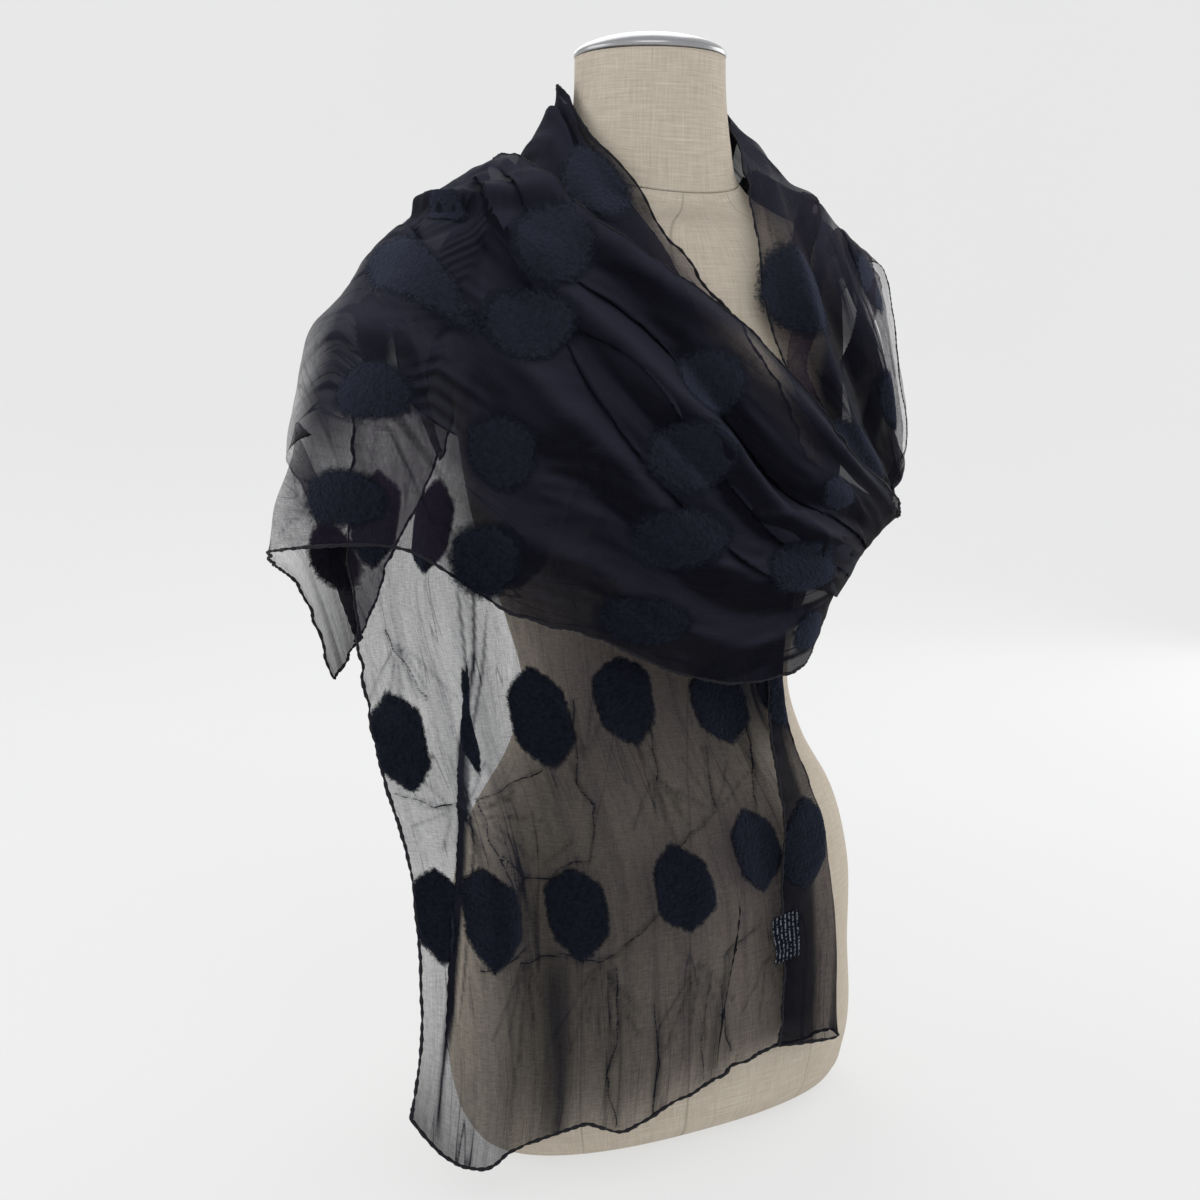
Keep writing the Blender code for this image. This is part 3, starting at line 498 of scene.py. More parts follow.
# ---------------------------------------------------------------- the folds
def fold_height(s, t):
    """How far the broad folds stand out at the given places."""
    out = np.zeros(s.shape)
    grown = ease((s - WRAP_FOLDS_FROM) / WRAP_FOLDS_GROW)
    for fold in FOLDS:
        first, last, middle = on_path(fold.path, s)
        u = (s - first) / (last - first)
        ends = np.clip(4 * u * (1 - u), 0.0, 1.0) ** 0.5
        if first > TURN_FROM:
            ends = ends * grown
        out = out + fold.depth * ends * np.exp(-((t - middle) / fold.half) ** 2)
    return out


def pleat_depths(s, widths, margin):
    """How deep each pleat is at each distance along, so that all the cloth is used."""
    strength = []
    for pleat in PLEATS:
        first, last = pleat.path[0][0], pleat.path[-1][0]
        fade = min(11.0, (last - first) / 3)
        strength.append(ease((s - first) / fade) * ease((last - s) / fade))
    strength = np.array(strength)
    fixed = strength * np.array([pleat.deep for pleat in PLEATS])[:, None]
    shares = strength * np.array([pleat.share for pleat in PLEATS])[:, None]
    spare = FLAT_WIDE - margin - widths - 2 * fixed.sum(axis=0)
    spare = np.maximum(spare, 0.0) / 2
    return fixed + shares / np.maximum(shares.sum(axis=0), 1.0) * spare * SPARE_TAKEN


def fold_rows(s, widths):
    """Across place and height of every point of the flat cloth, row by row."""
    flat = np.broadcast_to(np.linspace(0, FLAT_WIDE, COLUMNS + 1), (len(s), COLUMNS + 1))
    margin = curve(MARGIN_ALONG, MARGIN_WIDE, s)
    depths = pleat_depths(s, widths, margin)
    room = FLAT_WIDE - margin - 2 * depths.sum(axis=0)
    past = flat - FLAT_WIDE + margin[:, None]
    turned = ease(past / (np.pi * MARGIN_ROUND)) * ease(margin[:, None] / 1.5)
    gape = MARGIN_GAPE * np.exp(-s / 2.2)[:, None] * np.exp(-((past - 1.2) / 1.6) ** 2)
    height = (MARGIN_ROUND + gape) * (1 - np.cos(np.pi * turned))
    angle = turned
    places = np.array([on_path(pleat.path, s)[2] for pleat in PLEATS])
    close = 1 - 0.8 * np.exp(-((s - TURN_MIDDLE) / TURN_REACH) ** 2)
    for pleat, place, deep in zip(PLEATS, places, depths):
        before = ((places < place) * depths).sum(axis=0)
        u = flat - (place * room + deep + 2 * before)[:, None]
        deep = deep[:, None]
        angle = angle + ease((u + deep / 2) / PLEAT_ARC + 0.5) - ease((u - deep / 2) / PLEAT_ARC + 0.5)
        u = u / np.maximum(deep, 0.4)
        rise = 1.9 * u * np.exp(-(u / 1.25) ** 2) * ease(deep / 1.2) * close[:, None]
        height = height + pleat.apart * rise
    across = np.cumsum(np.cos(np.pi * angle), axis=1)
    across -= across[:, :1]
    return flat, across / across.max(axis=1, keepdims=True), height


def lines_of_scarf():
    """Distances along the scarf, with one at the ends of each stretch."""
    lines = [np.array([0.0])]
    for part in STRETCHES:
        count = int(round((part.stop - part.start) / CELL))
        lines.append(np.linspace(part.start, part.stop, count + 1)[1:])
    return np.concatenate(lines)


def all_creases():
    """The creases laid one by one, and those of the fans."""
    made = list(CREASES)
    draw = np.random.RandomState(11)
    widths = [np.linalg.norm(np.subtract(outer, inner)) * 1.06 for outer, _, inner in SCARF_EDGES]
    for fan in FANS:
        wide = np.interp(fan.along, SCARF_ALONG, widths)
        for k in range(fan.count):
            way = fan.turn + fan.spread * (k / (fan.count - 1) - 0.5 + draw.uniform(-0.06, 0.06))
            away = np.array([np.sin(np.radians(way)), np.cos(np.radians(way)) / wide])
            start = np.array([fan.along, fan.across]) + away * draw.uniform(0.2, 0.9)
            stop = start + away * fan.reach * draw.uniform(0.5, 1.0)
            rise = draw.uniform(FAN_LEAST, FAN_MOST) * (-1) ** k
            made.append(Crease((tuple(start), tuple(stop)), FAN_HALF, rise))
    return made


def on_crease(start, stop, half, s, x, wide):
    """How much of a straight crease there is at each place, and the distance to its line."""
    ru, rv = stop[0] - start[0], (stop[1] - start[1]) * wide
    du, dv = s - start[0], (x - start[1]) * wide
    size = np.sqrt(ru ** 2 + rv ** 2)
    k = (du * ru + dv * rv) / size ** 2
    side = (du * rv - dv * ru) / size
    past = 0.4 / size
    ends = ease((k + past) / past) * ease((1 + past - k) / past)
    return ends * np.exp(-np.abs(side) / half), np.where(ends > 0.3, side, 9.0)


class Scarf:
    """The whole strip's surface, which every stretch, dot and hem reads."""

    def __init__(self):
        self.s = lines_of_scarf()
        base_t = np.linspace(-BASE_PAST, 1 + BASE_PAST, BASE_COLUMNS + 1)
        base_step = base_t[1] - base_t[0]
        s, t = np.meshgrid(self.s, base_t, indexing="ij")
        base = smooth_cloth(s, t)
        steps = np.linalg.norm(np.diff(base, axis=1), axis=-1)
        inside = (base_t[:-1] > -0.001) & (base_t[1:] < 1.001)
        self.widths = steps[:, inside].sum(axis=1) / (inside.sum() * base_step)

        # the flat cloth, laid in its pleats on the smooth surface
        self.flat, self.t, height = fold_rows(self.s, self.widths)
        place = (self.t - base_t[0]) / base_step
        normal = read_rows(smooth_normals(s, t), place)
        normal /= np.linalg.norm(normal, axis=-1, keepdims=True)
        self.dots = self.place_dots(height)
        self.top = self.top_layer(height)

        # then its broad folds, its crumpling and its creases
        s = np.broadcast_to(self.s[:, None], self.t.shape)
        folds = fold_height(s, self.t)
        p = read_rows(base, place) + normal * (height + folds)[..., None]
        lift = self.calm_at_dots(s) * self.crinkle(s) + self.puckers(s)
        rise, self.creased, self.off_crease = self.creases(s)
        p = p + grid_normals(p) * (lift + rise)[..., None]
        off = np.where(self.s < TURN_FROM, CLEAR_UNDER, CLEAR_OVER)[:, None]
        self.p = keep_clear(p, np.broadcast_to(off, s.shape), 3)
        self.normal = grid_normals(self.p)

        # and how dense it is, and its painted light: a lighter colour where it faces up and on fold ridges,
        # darker in fold valleys
        slope = np.clip(np.abs((self.normal * normal).sum(axis=-1)), STEEP_LEAST, 1.0)
        self.dense = 1.0 - self.through(s) ** (1.0 / slope)
        self.upward = np.clip(0.12 + 1.1 * self.normal[..., 2] + 0.3 * folds, 0.0, 1.0)

    def creases(self, s):
        """The creases' height, how much each place is creased, and its distance from a line."""
        rise, creased, off = np.zeros(s.shape), np.zeros(s.shape), np.full(s.shape, 9.0)
        for crease in all_creases():
            ends = [spot[0] for spot in crease.path]
            part = self.rows_near((min(ends) + max(ends)) / 2, (max(ends) - min(ends)) / 2 + 3)
            most = np.zeros(s[part].shape)
            wide = self.widths[part, None]
            for start, stop in zip(crease.path, crease.path[1:]):
                amount, side = on_crease(start, stop, crease.half, s[part], self.t[part], wide)
                most = np.maximum(most, amount)
                if crease.half > FAN_HALF:
                    side = side + 0.25 * wander(s[part] / 1.4, self.flat[part] / 1.4, 31)
                    off[part] = np.where(np.abs(side) < np.abs(off[part]), side, off[part])
            rise[part] += crease.rise * most
            creased[part] = np.maximum(creased[part], most ** 2)
        return rise, creased, np.clip(off, -1.0, 1.0)

    def through(self, s):
        """How much light a layer lets through at each point."""
        rows = curve([row.along for row in THROUGH], [row.clear for row in THROUGH], self.s)
        clear = read_rows(rows, self.t * 4)
        wide = self.widths[:, None]
        for window in WINDOWS:
            away = ((s - window.along) / window.long) ** 2
            away = away + ((self.t - window.across) * wide / window.wide) ** 2
            clear = clear + (window.clear - clear) * np.exp(-away ** 2)
        clear = np.clip(clear, 0.03, 0.72)
        for bunch in BUNCHES:
            first, last, middle = on_path(bunch.path, self.s)
            ends = ease((s - first) / 3.0) * ease((last - s) / 4.0)
            away = (self.t - middle[:, None]) * wide
            clear = clear * (1 - bunch.dark * ends * np.exp(-(away / bunch.half) ** 4))
        clear = clear * (1 - 0.5 * self.creased)
        margin = curve(MARGIN_ALONG, MARGIN_WIDE, self.s)[:, None]
        doubled = ease((self.flat - FLAT_WIDE + margin * 0.58) / 0.8) * ease(margin / 2.0)
        return clear * (1 - 0.82 * doubled)

    def top_layer(self, height):
        """Height of the outermost layer, at even places across each row."""
        places = 90
        top = np.full((len(self.s), places + 1), -9.0)
        spot = np.rint(self.t * places).astype(int)
        rows = np.broadcast_to(np.arange(len(self.s))[:, None], spot.shape)
        np.maximum.at(top, (rows, spot), height)
        for _ in range(2):
            for axis in (0, 1):
                top = np.maximum(top, np.maximum(np.roll(top, 1, axis), np.roll(top, -1, axis)))
        for _ in range(2):
            for axis in (0, 1):
                top = (top + np.roll(top, 1, axis) + np.roll(top, -1, axis)) / 3
        return top

    def crinkle(self, s):
        """Fine crumpling, longer along the cloth than across it."""
        flat = self.flat
        bend = 1.5 * wander(s / 9.0, flat / 9.0, 3)
        soft = 0.16 * wander(s / 13.0, (flat + bend) / 3.4, 21)
        fine = 0.07 * wander(s / 5.0, (flat + bend) / 1.3, 22)
        ridge = 0.09 * (0.5 - np.abs(wander(s / 7.0 + flat / 15.0, (flat + bend) / 2.0, 23)))
        cross = 0.05 * (0.5 - np.abs(wander(s / 2.6, flat / 7.0, 24)))
        outer = np.interp(self.s, EDGE_ALONG, OUTER_EDGE)[:, None]
        inner = np.interp(self.s, EDGE_ALONG, INNER_EDGE)[:, None]
        frill = 0.30 * (outer * np.exp(-flat / 0.9) + inner * np.exp(-(FLAT_WIDE - flat) / 0.9))
        frill = frill * wander(s / 1.15, flat * 0, 25)
        ends = 0.25 * (np.exp(-s / 0.8) + np.exp(-(self.s[-1] - s) / 0.8)) * wander(flat / 1.3, s * 0, 26)
        return soft + fine + ridge + cross + frill + ends

    def place_dots(self, height):
        """Where each dot's middle lies: along, on the flat cloth, and across."""
        made = []
        for kind in DOTS:
            i = int(np.argmin(np.abs(self.s - kind.along)))
            over = self.t[i] - kind.across
            cross = np.flatnonzero(over[:-1] * over[1:] <= 0)
            best = cross[np.argmax(height[i][cross])]
            made.append(Placed(kind.along, self.flat[i, best], kind.across, kind))
        for along, from_edge in MARGIN_DOTS:
            made.append(Placed(along, FLAT_WIDE - from_edge, 0.9, Dot(along, 0.9)))
        return made

    def rows_near(self, along, reach):
        """The rows within reach of a distance along."""
        rows = np.flatnonzero(np.abs(self.s - along) < reach)
        return slice(rows[0], rows[-1] + 1)

    def calm_at_dots(self, s):
        """How much the cloth may crumple: little where felt holds it flat."""
        calm = np.ones(s.shape)
        for dot in self.dots:
            part = self.rows_near(dot.along, DOT_LONG)
            away = np.hypot((s[part] - dot.along) / (DOT_LONG / 2),
                            (self.flat[part] - dot.flat) / (DOT_WIDE / 2))
            calm[part] *= 0.25 + 0.75 * ease((away - 0.8) / 0.6)
        return calm

    def puckers(self, s):
        """Fine creases that run out from both ends of each dot."""
        total = np.zeros(s.shape)
        for k, dot in enumerate(self.dots):
            part = self.rows_near(dot.along, 2.2 * DOT_LONG)
            ds, db = s[part] - dot.along, self.flat[part] - dot.flat
            past = np.maximum(np.abs(ds) - DOT_LONG * 0.38, 0.0)
            spread = 1 + past * 0.05
            reach = ease(past / 1.5) * np.exp(-past / 4.0) * np.exp(-(db / spread / 2.3) ** 4)
            total[part] += 0.10 * reach * np.sin(5.1 * db / spread + 2.0 * np.sin(k + ds * 0.35))
        return total

    def read(self, s, j, table):
        """A table of the surface read at distances along and fractions of its columns."""
        i = np.interp(s, self.s, np.arange(len(self.s)))
        j = np.clip(j, 0, table.shape[1] - 1)
        i0 = np.minimum(i.astype(int), len(self.s) - 2)
        j0 = np.minimum(j.astype(int), table.shape[1] - 2)
        u, v = i - i0, j - j0
        if table.ndim == 3:
            u, v = u[:, None], v[:, None]
        low = table[i0, j0] * (1 - v) + table[i0, j0 + 1] * v
        high = table[i0 + 1, j0] * (1 - v) + table[i0 + 1, j0 + 1] * v
        return low * (1 - u) + high * u

    def at(self, s, flat):
        """Points and outward normals of the cloth."""
        j = flat / FLAT_WIDE * COLUMNS
        out = self.read(s, j, self.normal)
        return self.read(s, j, self.p), out / np.maximum(np.linalg.norm(out, axis=1, keepdims=True), 1e-6)

    def on_top(self, s, t):
        """Points and outward normals over the outermost layer."""
        out = smooth_normals(s, t)
        height = self.read(s, t * (self.top.shape[1] - 1), self.top) + fold_height(s, t) + 0.06
        return smooth_cloth(s, t) + out * height[:, None], out

    def spread(self, dot):
        """Real centimetres to a step along and to a step across, at a dot."""
        step = np.array([1.0, -1.0, 0.0, 0.0])
        if dot.along > LAID_FROM:
            p = smooth_cloth(dot.along + step, dot.across + 0.02 * step[::-1])
            return np.linalg.norm(p[0] - p[1]) / 2, np.linalg.norm(p[2] - p[3]) / 0.04
        p = self.at(dot.along + 2 * step, dot.flat + 2 * step[::-1])[0]
        return np.linalg.norm(p[0] - p[1]) / 4, np.linalg.norm(p[2] - p[3]) / 4


# ---------------------------------------------------------------- finishes
class Wire:
    """A shader socket that takes part in sums."""

    def __init__(self, finish, socket):
        self.finish = finish
        self.socket = socket

    def __add__(self, other):
        return self.finish.sum("ADD", self, other)

    def __sub__(self, other):
        return self.finish.sum("SUBTRACT", self, other)

    def __mul__(self, other):
        return self.finish.sum("MULTIPLY", self, other)

    def __rsub__(self, other):
        return self.finish.sum("SUBTRACT", other, self)

    __radd__ = __add__
    __rmul__ = __mul__


def opaque(colour):
    """A colour as a shader takes it: a wire stays, and a plain one gets its last value."""
    return colour if isinstance(colour, Wire) else (*colour, 1.0)


class Finish:
    """A material and its nodes."""

    def __init__(self, name, **fixed):
        self.material = bpy.data.materials.new(name)
        self.material.use_nodes = True
        self.tree = self.material.node_tree
        self.shader = self.tree.nodes["Principled BSDF"]
        for key, value in fixed.items():
            self.shader.inputs[key.replace("_", " ").title().replace("Ior", "IOR")].default_value = value

    def node(self, kind, settings=None, inputs=None, out=0):
        """A node of a kind, with its settings made first and its sockets filled after them."""
        made = self.tree.nodes.new(kind)
        for key, value in (settings or {}).items():
            setattr(made, key, value)
        for key, value in (inputs or {}).items():
            self.join(value, made.inputs[key])
        return Wire(self, made.outputs[out])

    def join(self, value, socket):
        """Links a wire to a socket, or sets the socket to a plain value."""
        if isinstance(value, Wire):
            self.tree.links.new(value.socket, socket)
        else:
            socket.default_value = value

    def set(self, name, value):
        """Fills one of the shader's own sockets."""
        self.join(value, self.shader.inputs[name])

    def sum(self, operation, *values):
        """A sum on numbers."""
        return self.node("ShaderNodeMath", {"operation": operation}, dict(enumerate(values)))

    def uv(self):
        """Metres along and across a piece."""
        return self.node("ShaderNodeTexCoord", out="UV")

    def place(self):
        """Metres from the form's base."""
        return self.node("ShaderNodeTexCoord", out="Object")

    def painted(self, name):
        """A value that is kept at each point of the mesh."""
        return self.node("ShaderNodeAttribute", {"attribute_name": name}, out="Fac")

    def noise(self, vector, scale, detail=2.0, rough=0.5):
        """Noise, with a scale for each axis or one for all three."""
        scale = scale if isinstance(scale, tuple) else (scale, scale, scale)
        vector = self.node("ShaderNodeMapping", None, {"Vector": vector, "Scale": scale})
        inputs = {"Vector": vector, "Scale": 1.0, "Detail": detail, "Roughness": rough}
        return self.node("ShaderNodeTexNoise", None, inputs)

    def bands(self, vector, scale, direction, wavy):
        """Even stripes along a direction."""
        settings = {"wave_type": "BANDS", "bands_direction": direction}
        return self.node("ShaderNodeTexWave", settings,
                         {"Vector": vector, "Scale": scale, "Distortion": wavy}, out=1)

    def rise(self, value, low, high, top=1.0):
        """0 at low and top at high, and even between them.  Low may be the larger of the two."""
        return self.node("ShaderNodeMapRange", None, {0: value, 1: low, 2: high, 3: 0.0, 4: top})

    def clamp(self, value, least):
        """Keeps a value between the least and 1."""
        return self.node("ShaderNodeClamp", None, {"Value": value, "Min": least, "Max": 1.0})

    def mix(self, share, first, second):
        """The first colour with a share of the second over it."""
        inputs = {0: share, 6: opaque(first), 7: opaque(second)}
        return self.node("ShaderNodeMix", {"data_type": "RGBA"}, inputs, out=2)

    def bump(self, height, strength, distance):
        """Fine relief."""
        inputs = {"Height": height, "Strength": strength, "Distance": distance}
        self.set("Normal", self.node("ShaderNodeBump", None, inputs))


def sheer_finish():
    """Crinkled sheer cloth: its weave lets light through, less so where it is bunched."""
    made = Finish("crinkled_sheer", roughness=0.8, specular_ior_level=0.03)
    uv = made.uv()
    grain = made.noise(uv, (65.0, 1050.0, 1.0), 2.0, 0.6)
    crepe = made.noise(uv, (850.0, 130.0, 1.0))
    cloud = made.noise(uv, (8.0, 30.0, 1.0))
    streak = made.rise(made.noise(uv, (3.2, 62.0, 1.0)), 0.50, 0.72)
    wrinkle = made.sum("ABSOLUTE", made.noise(uv, (3.4, 52.0, 1.0), 1.0) - 0.5)
    wrinkle = made.rise(wrinkle, 0.012, 0.0) * made.rise(cloud, 0.45, 0.55)
    crease = made.sum("ABSOLUTE", made.painted("off_crease") + (crepe - 0.5) * 0.05)
    crease = made.rise(crease, 0.08, 0.0)
    broken = made.rise(crepe + cloud, 0.80, 1.15)

    dense = made.painted("dense")
    uneven = (grain - 0.5) * 0.95 + (crepe - 0.5) * 0.75 + (cloud - 0.5) * 0.5
    alpha = dense + (1.0 - dense) * uneven
    alpha = alpha + wrinkle * 0.20 + streak * 0.13 + crease * broken * 0.45
    made.set("Alpha", made.clamp(alpha, 0.20))

    # Painted light on the cloth's colour: lighter where it faces up and on fold ridges, darker where it
    # faces down and in fold valleys.
    shade = made.mix(made.painted("upward"), (0.0038, 0.0039, 0.0064), (0.0225, 0.0230, 0.0355))
    shade = made.mix((grain - 0.3) * 0.5, shade, (0.0130, 0.0138, 0.0235))
    single = made.rise(dense, 0.64, 0.50, 0.8)
    made.set("Base Color", made.mix(single, shade, (0.0250, 0.0170, 0.0310)))
    made.bump(grain + crepe * 0.6 + wrinkle + crease, 0.4, 0.0006)
    return made.material


def felt_finish():
    """Matted wool with a short nap and a ragged rim."""
    made = Finish("felt_navy", specular_ior_level=0.02, sheen_weight=0.10, sheen_roughness=0.55,
                  sheen_tint=(0.55, 0.65, 1.0, 1.0))
    place = made.place()
    matted = made.noise(place, 300.0, 4.0, 0.7)
    curls = made.noise(place, 900.0)
    clumps = made.noise(place, 75.0, 3.0, 0.6)
    shade = made.mix(made.rise(matted, 0.38, 0.66), (0.0018, 0.0021, 0.0038), (0.0070, 0.0078, 0.0130))
    shade = made.mix(made.rise(clumps, 0.45, 0.70, 0.5), shade, (0.0052, 0.0068, 0.0128))
    lit = made.mix(matted, (0.0125, 0.0138, 0.0215), (0.0345, 0.0375, 0.0550))
    # Painted top light: felt that faces up, and laid dots more than hung ones, gets the lighter lit colour.
    made.set("Base Color", made.mix(made.painted("upward") * 0.75, shade, lit))
    made.set("Roughness", 0.85 + matted * 0.1)
    ragged = (1.0 - made.painted("rim")) * 9.0 + (matted - 0.5) * 2.4 + (curls - 0.5) * 1.2 - 0.15
    made.set("Alpha", made.clamp(ragged, 0.0))
    made.bump(matted + curls * 0.5 + clumps, 1.0, 0.0016)
    return made.material


def hem_finish():
    """The rolled and whipped hem."""
    made = Finish("rolled_hem", roughness=0.7, specular_ior_level=0.15)
    twist = made.noise(made.place(), 500.0, 3.0)
    made.set("Base Color", made.mix(twist, (0.004, 0.004, 0.006), (0.020, 0.020, 0.026)))
    made.bump(twist, 0.6, 0.0006)
    return made.material


def linen_finish(name):
    """Slubbed linen, woven square, with sewn seams where the panels meet."""
    made = Finish(name, roughness=0.9, specular_ior_level=0.15)
    uv = made.uv()
    warp = made.noise(uv, (760.0, 45.0, 1.0), 2.0, 0.6)
    weft = made.noise(uv, (40.0, 820.0, 1.0), 2.0, 0.6)
    slub = made.noise(uv, (22.0, 900.0, 1.0), 1.0)
    cloud = made.noise(uv, (14.0, 14.0, 1.0), 3.0)
    thread = made.rise(warp * 0.5 + weft * 0.5, 0.30, 0.70)
    thick = made.rise(slub, 0.60, 0.74, 0.5) + made.rise(slub, 0.74, 1.0, 0.2)
    seam = made.rise(made.painted("from_seam"), 0.09, 0.02)
    shade = made.mix(thread, (0.405, 0.350, 0.280), (0.595, 0.535, 0.450))
    shade = made.mix(thick, shade, (0.66, 0.61, 0.52))
    shade = made.mix(cloud * 0.22, shade, (0.46, 0.38, 0.31))
    made.set("Base Color", made.mix(seam * 0.45, shade, (0.20, 0.17, 0.14)))
    made.bump(thread + slub * 0.4 - seam * 0.5, 0.5, 0.0006)
    return made.material


def chrome_finish():
    """Worn polished metal."""
    made = Finish("worn_chrome", metallic=1.0)
    place = made.place()
    wipe = made.noise(place, (18.0, 18.0, 260.0), 3.0)
    marks = made.rise(made.noise(place, 420.0), 0.70, 0.78)
    shade = made.mix(wipe, (0.24, 0.24, 0.25), (0.42, 0.42, 0.43))
    made.set("Base Color", made.mix(marks * 0.6, shade, (0.10, 0.10, 0.11)))
    made.set("Roughness", 0.16 + wipe * 0.18 + marks * 0.3)
    made.bump(wipe, 0.12, 0.0004)
    return made.material


def label_finish():
    """Tightly woven dark tape with short pale stripes and no letters."""
    made = Finish("woven_label", roughness=0.85, specular_ior_level=0.03)
    uv = made.uv()
    rib = made.bands(uv, 60.0, "X", 0.4)
    fleck = made.noise(uv, (520.0, 380.0, 1.0))
    pale = made.rise(made.bands(uv, 88.0, "Y", 0.2), 0.60, 0.80) * made.rise(fleck, 0.47, 0.55)
    shade = made.mix(fleck, (0.003, 0.004, 0.007), (0.007, 0.009, 0.015))
    made.set("Base Color", made.mix(pale * 0.8, shade, (0.170, 0.180, 0.200)))
    made.bump(rib * 0.6 + fleck, 0.5, 0.0003)
    return made.material


def floor_finish():
    """Matt white paper, lit from behind as well."""
    made = Finish("studio_floor", roughness=1.0, specular_ior_level=0.0, emission_strength=0.615,
                  emission_color=(0.985, 0.99, 0.985, 1.0))
    haze = made.noise(made.place(), 1.2)
    made.set("Base Color", made.mix(haze, (0.215, 0.215, 0.215), (0.235, 0.235, 0.235)))
    return made.material


# ---------------------------------------------------------------- meshes
def take_mesh(bm, name):
    """The finished mesh of a bmesh."""
    mesh = bpy.data.meshes.new(name)
    bm.to_mesh(mesh)
    bm.free()
    return mesh


def smooth_piece(name, mesh, material):
    """A smooth shaded piece of one material."""
    mesh.materials.clear()
    mesh.materials.append(material)
    mesh.polygons.foreach_set("use_smooth", [True] * len(mesh.polygons))
    piece = bpy.data.objects.new(name, mesh)
    bpy.context.scene.collection.objects.link(piece)
    return piece


def worn_piece(name, mesh, material, nodes=()):
    """A piece that rides on the form, and the nodes that it replaces."""
    piece = smooth_piece(name, mesh, material)
    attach(piece, "root")
    if nodes:
        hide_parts(*nodes)
    return piece


def read_points(mesh):
    """The places of a mesh's points, a row for each."""
    spots = np.zeros(len(mesh.vertices) * 3)
    mesh.vertices.foreach_get("co", spots)
    return spots.reshape(-1, 3)


def grid_mesh(name, columns, rows):
    """A flat grid mesh, and the column and row of each of its points."""
    bm = bmesh.new()
    bm.loops.layers.uv.new("UVMap")
    bmesh.ops.create_grid(bm, x_segments=columns, y_segments=rows, size=1.0, calc_uvs=True)
    mesh = take_mesh(bm, name)
    x, y, _ = read_points(mesh).T
    return mesh, np.rint((x + 1) / 2 * columns).astype(int), np.rint((y + 1) / 2 * rows).astype(int)


def turned_mesh(name, outline):
    """A body turned round the upright axis, from places out and up in metres."""
    bm = bmesh.new()
    points = [bm.verts.new((out, 0.0, up)) for out, up in outline]
    edges = [bm.edges.new(pair) for pair in zip(points, points[1:])]
    bmesh.ops.spin(bm, geom=points + edges, cent=(0, 0, 0), axis=(0, 0, 1), angle=2 * np.pi,
                   steps=96, use_merge=True)
    bmesh.ops.remove_doubles(bm, verts=bm.verts[:], dist=0.00002)
    bmesh.ops.recalc_face_normals(bm, faces=bm.faces[:])
    return take_mesh(bm, name)


def set_points(mesh, points):
    """Moves a mesh's points, given in centimetres."""
    mesh.vertices.foreach_set("co", (points * CM).ravel())
    mesh.update()


def paint(mesh, **values):
    """Keeps named values at the points of a mesh, for its finish."""
    for name, value in values.items():
        made = mesh.attributes.new(name, "FLOAT", "POINT")
        made.data.foreach_set("value", np.asarray(value, float).ravel())


def scale_uv(mesh, long, wide, start=0.0):
    """Sets the UV map to metres along and across."""
    layer = mesh.uv_layers.active.data
    uv = np.zeros(len(layer) * 2)
    layer.foreach_get("uv", uv)
    uv = uv.reshape(-1, 2)
    uv = np.stack([start + uv[:, 1] * long, uv[:, 0] * wide], axis=1)
    layer.foreach_set("uv", uv.ravel())


# ---------------------------------------------------------------- the scarf's pieces
def cloth_piece(scarf, part, material):
    """One stretch of the scarf, its rows of the whole surface, and how long it is."""
    first = int(np.argmin(np.abs(scarf.s - part.start)))
    last = int(np.argmin(np.abs(scarf.s - part.stop)))
    mesh, column, row = grid_mesh(part.name, COLUMNS, last - first)
    spots = first + row, column
    set_points(mesh, scarf.p[spots])
    scale_uv(mesh, (part.stop - part.start) * CM, FLAT_WIDE * CM, part.start * CM)
    # The colour's painted top light and fold shade go with the cloth, as a value at each point.
    paint(mesh, dense=scarf.dense[spots], upward=scarf.upward[spots], off_crease=scarf.off_crease[spots])
    piece = worn_piece(part.name, mesh, material, part.nodes)
    rows = slice(first, last + 1)
    along = np.linalg.norm(np.diff(scarf.p[rows], axis=0), axis=2).sum(axis=0).mean()
    return piece, rows, along


def rolled_hem(name, route, radii, material):
    """A round cord along a route, with its own radius at each point."""
    data = bpy.data.curves.new(name, "CURVE")
    data.dimensions = "3D"
    data.bevel_depth = 1.0
    data.bevel_resolution = 1
    data.use_fill_caps = True
    line = data.splines.new("POLY")
    line.points.add(len(route) - 1)
    flat = np.concatenate([route * CM, np.ones((len(route), 1))], axis=1)
    line.points.foreach_set("co", flat.ravel())
    line.points.foreach_set("radius", radii * CM)
    holder = bpy.data.objects.new(name, data)
    mesh = bpy.data.meshes.new_from_object(holder)
    mesh.name = name
    bpy.data.objects.remove(holder)
    bpy.data.curves.remove(data)
    return worn_piece(name, mesh, material)


def hem_radii(s, edge, seed):
    """A hem's uneven, beaded radius."""
    x = s if np.ptp(s) > 0 else np.arange(len(s)) * CELL
    beads = 0.30 * np.sin(x * 7.0 + 2.0 * wander(x / 2.0, x * 0, seed))
    beads = beads + 0.35 * wander(x / 1.1, x * 0, seed + 1)
    return HEM_ROUND * (1.0 + beads) * (0.45 + 0.55 * np.interp(s, EDGE_ALONG, edge))


def hems(scarf, part, rows, material):
    """The rolled hems on a stretch's two long edges, and on an end of the scarf."""
    s = scarf.s[rows]
    routes = {"outer": (scarf.p[rows, 0], s, OUTER_EDGE), "inner": (scarf.p[rows, -1], s, INNER_EDGE)}
    for end in (0, -1):
        if scarf.s[end] in (part.start, part.stop):
            routes["end"] = (scarf.p[end], np.full(COLUMNS + 1, scarf.s[end]), OUTER_EDGE)
    made = []
    for side, (route, along, edge) in routes.items():
        radii = hem_radii(along, edge, 40 + 3 * len(side) + int(part.start))
        made.append(rolled_hem(part.name + "_hem_" + side, route, radii, material))
    return made


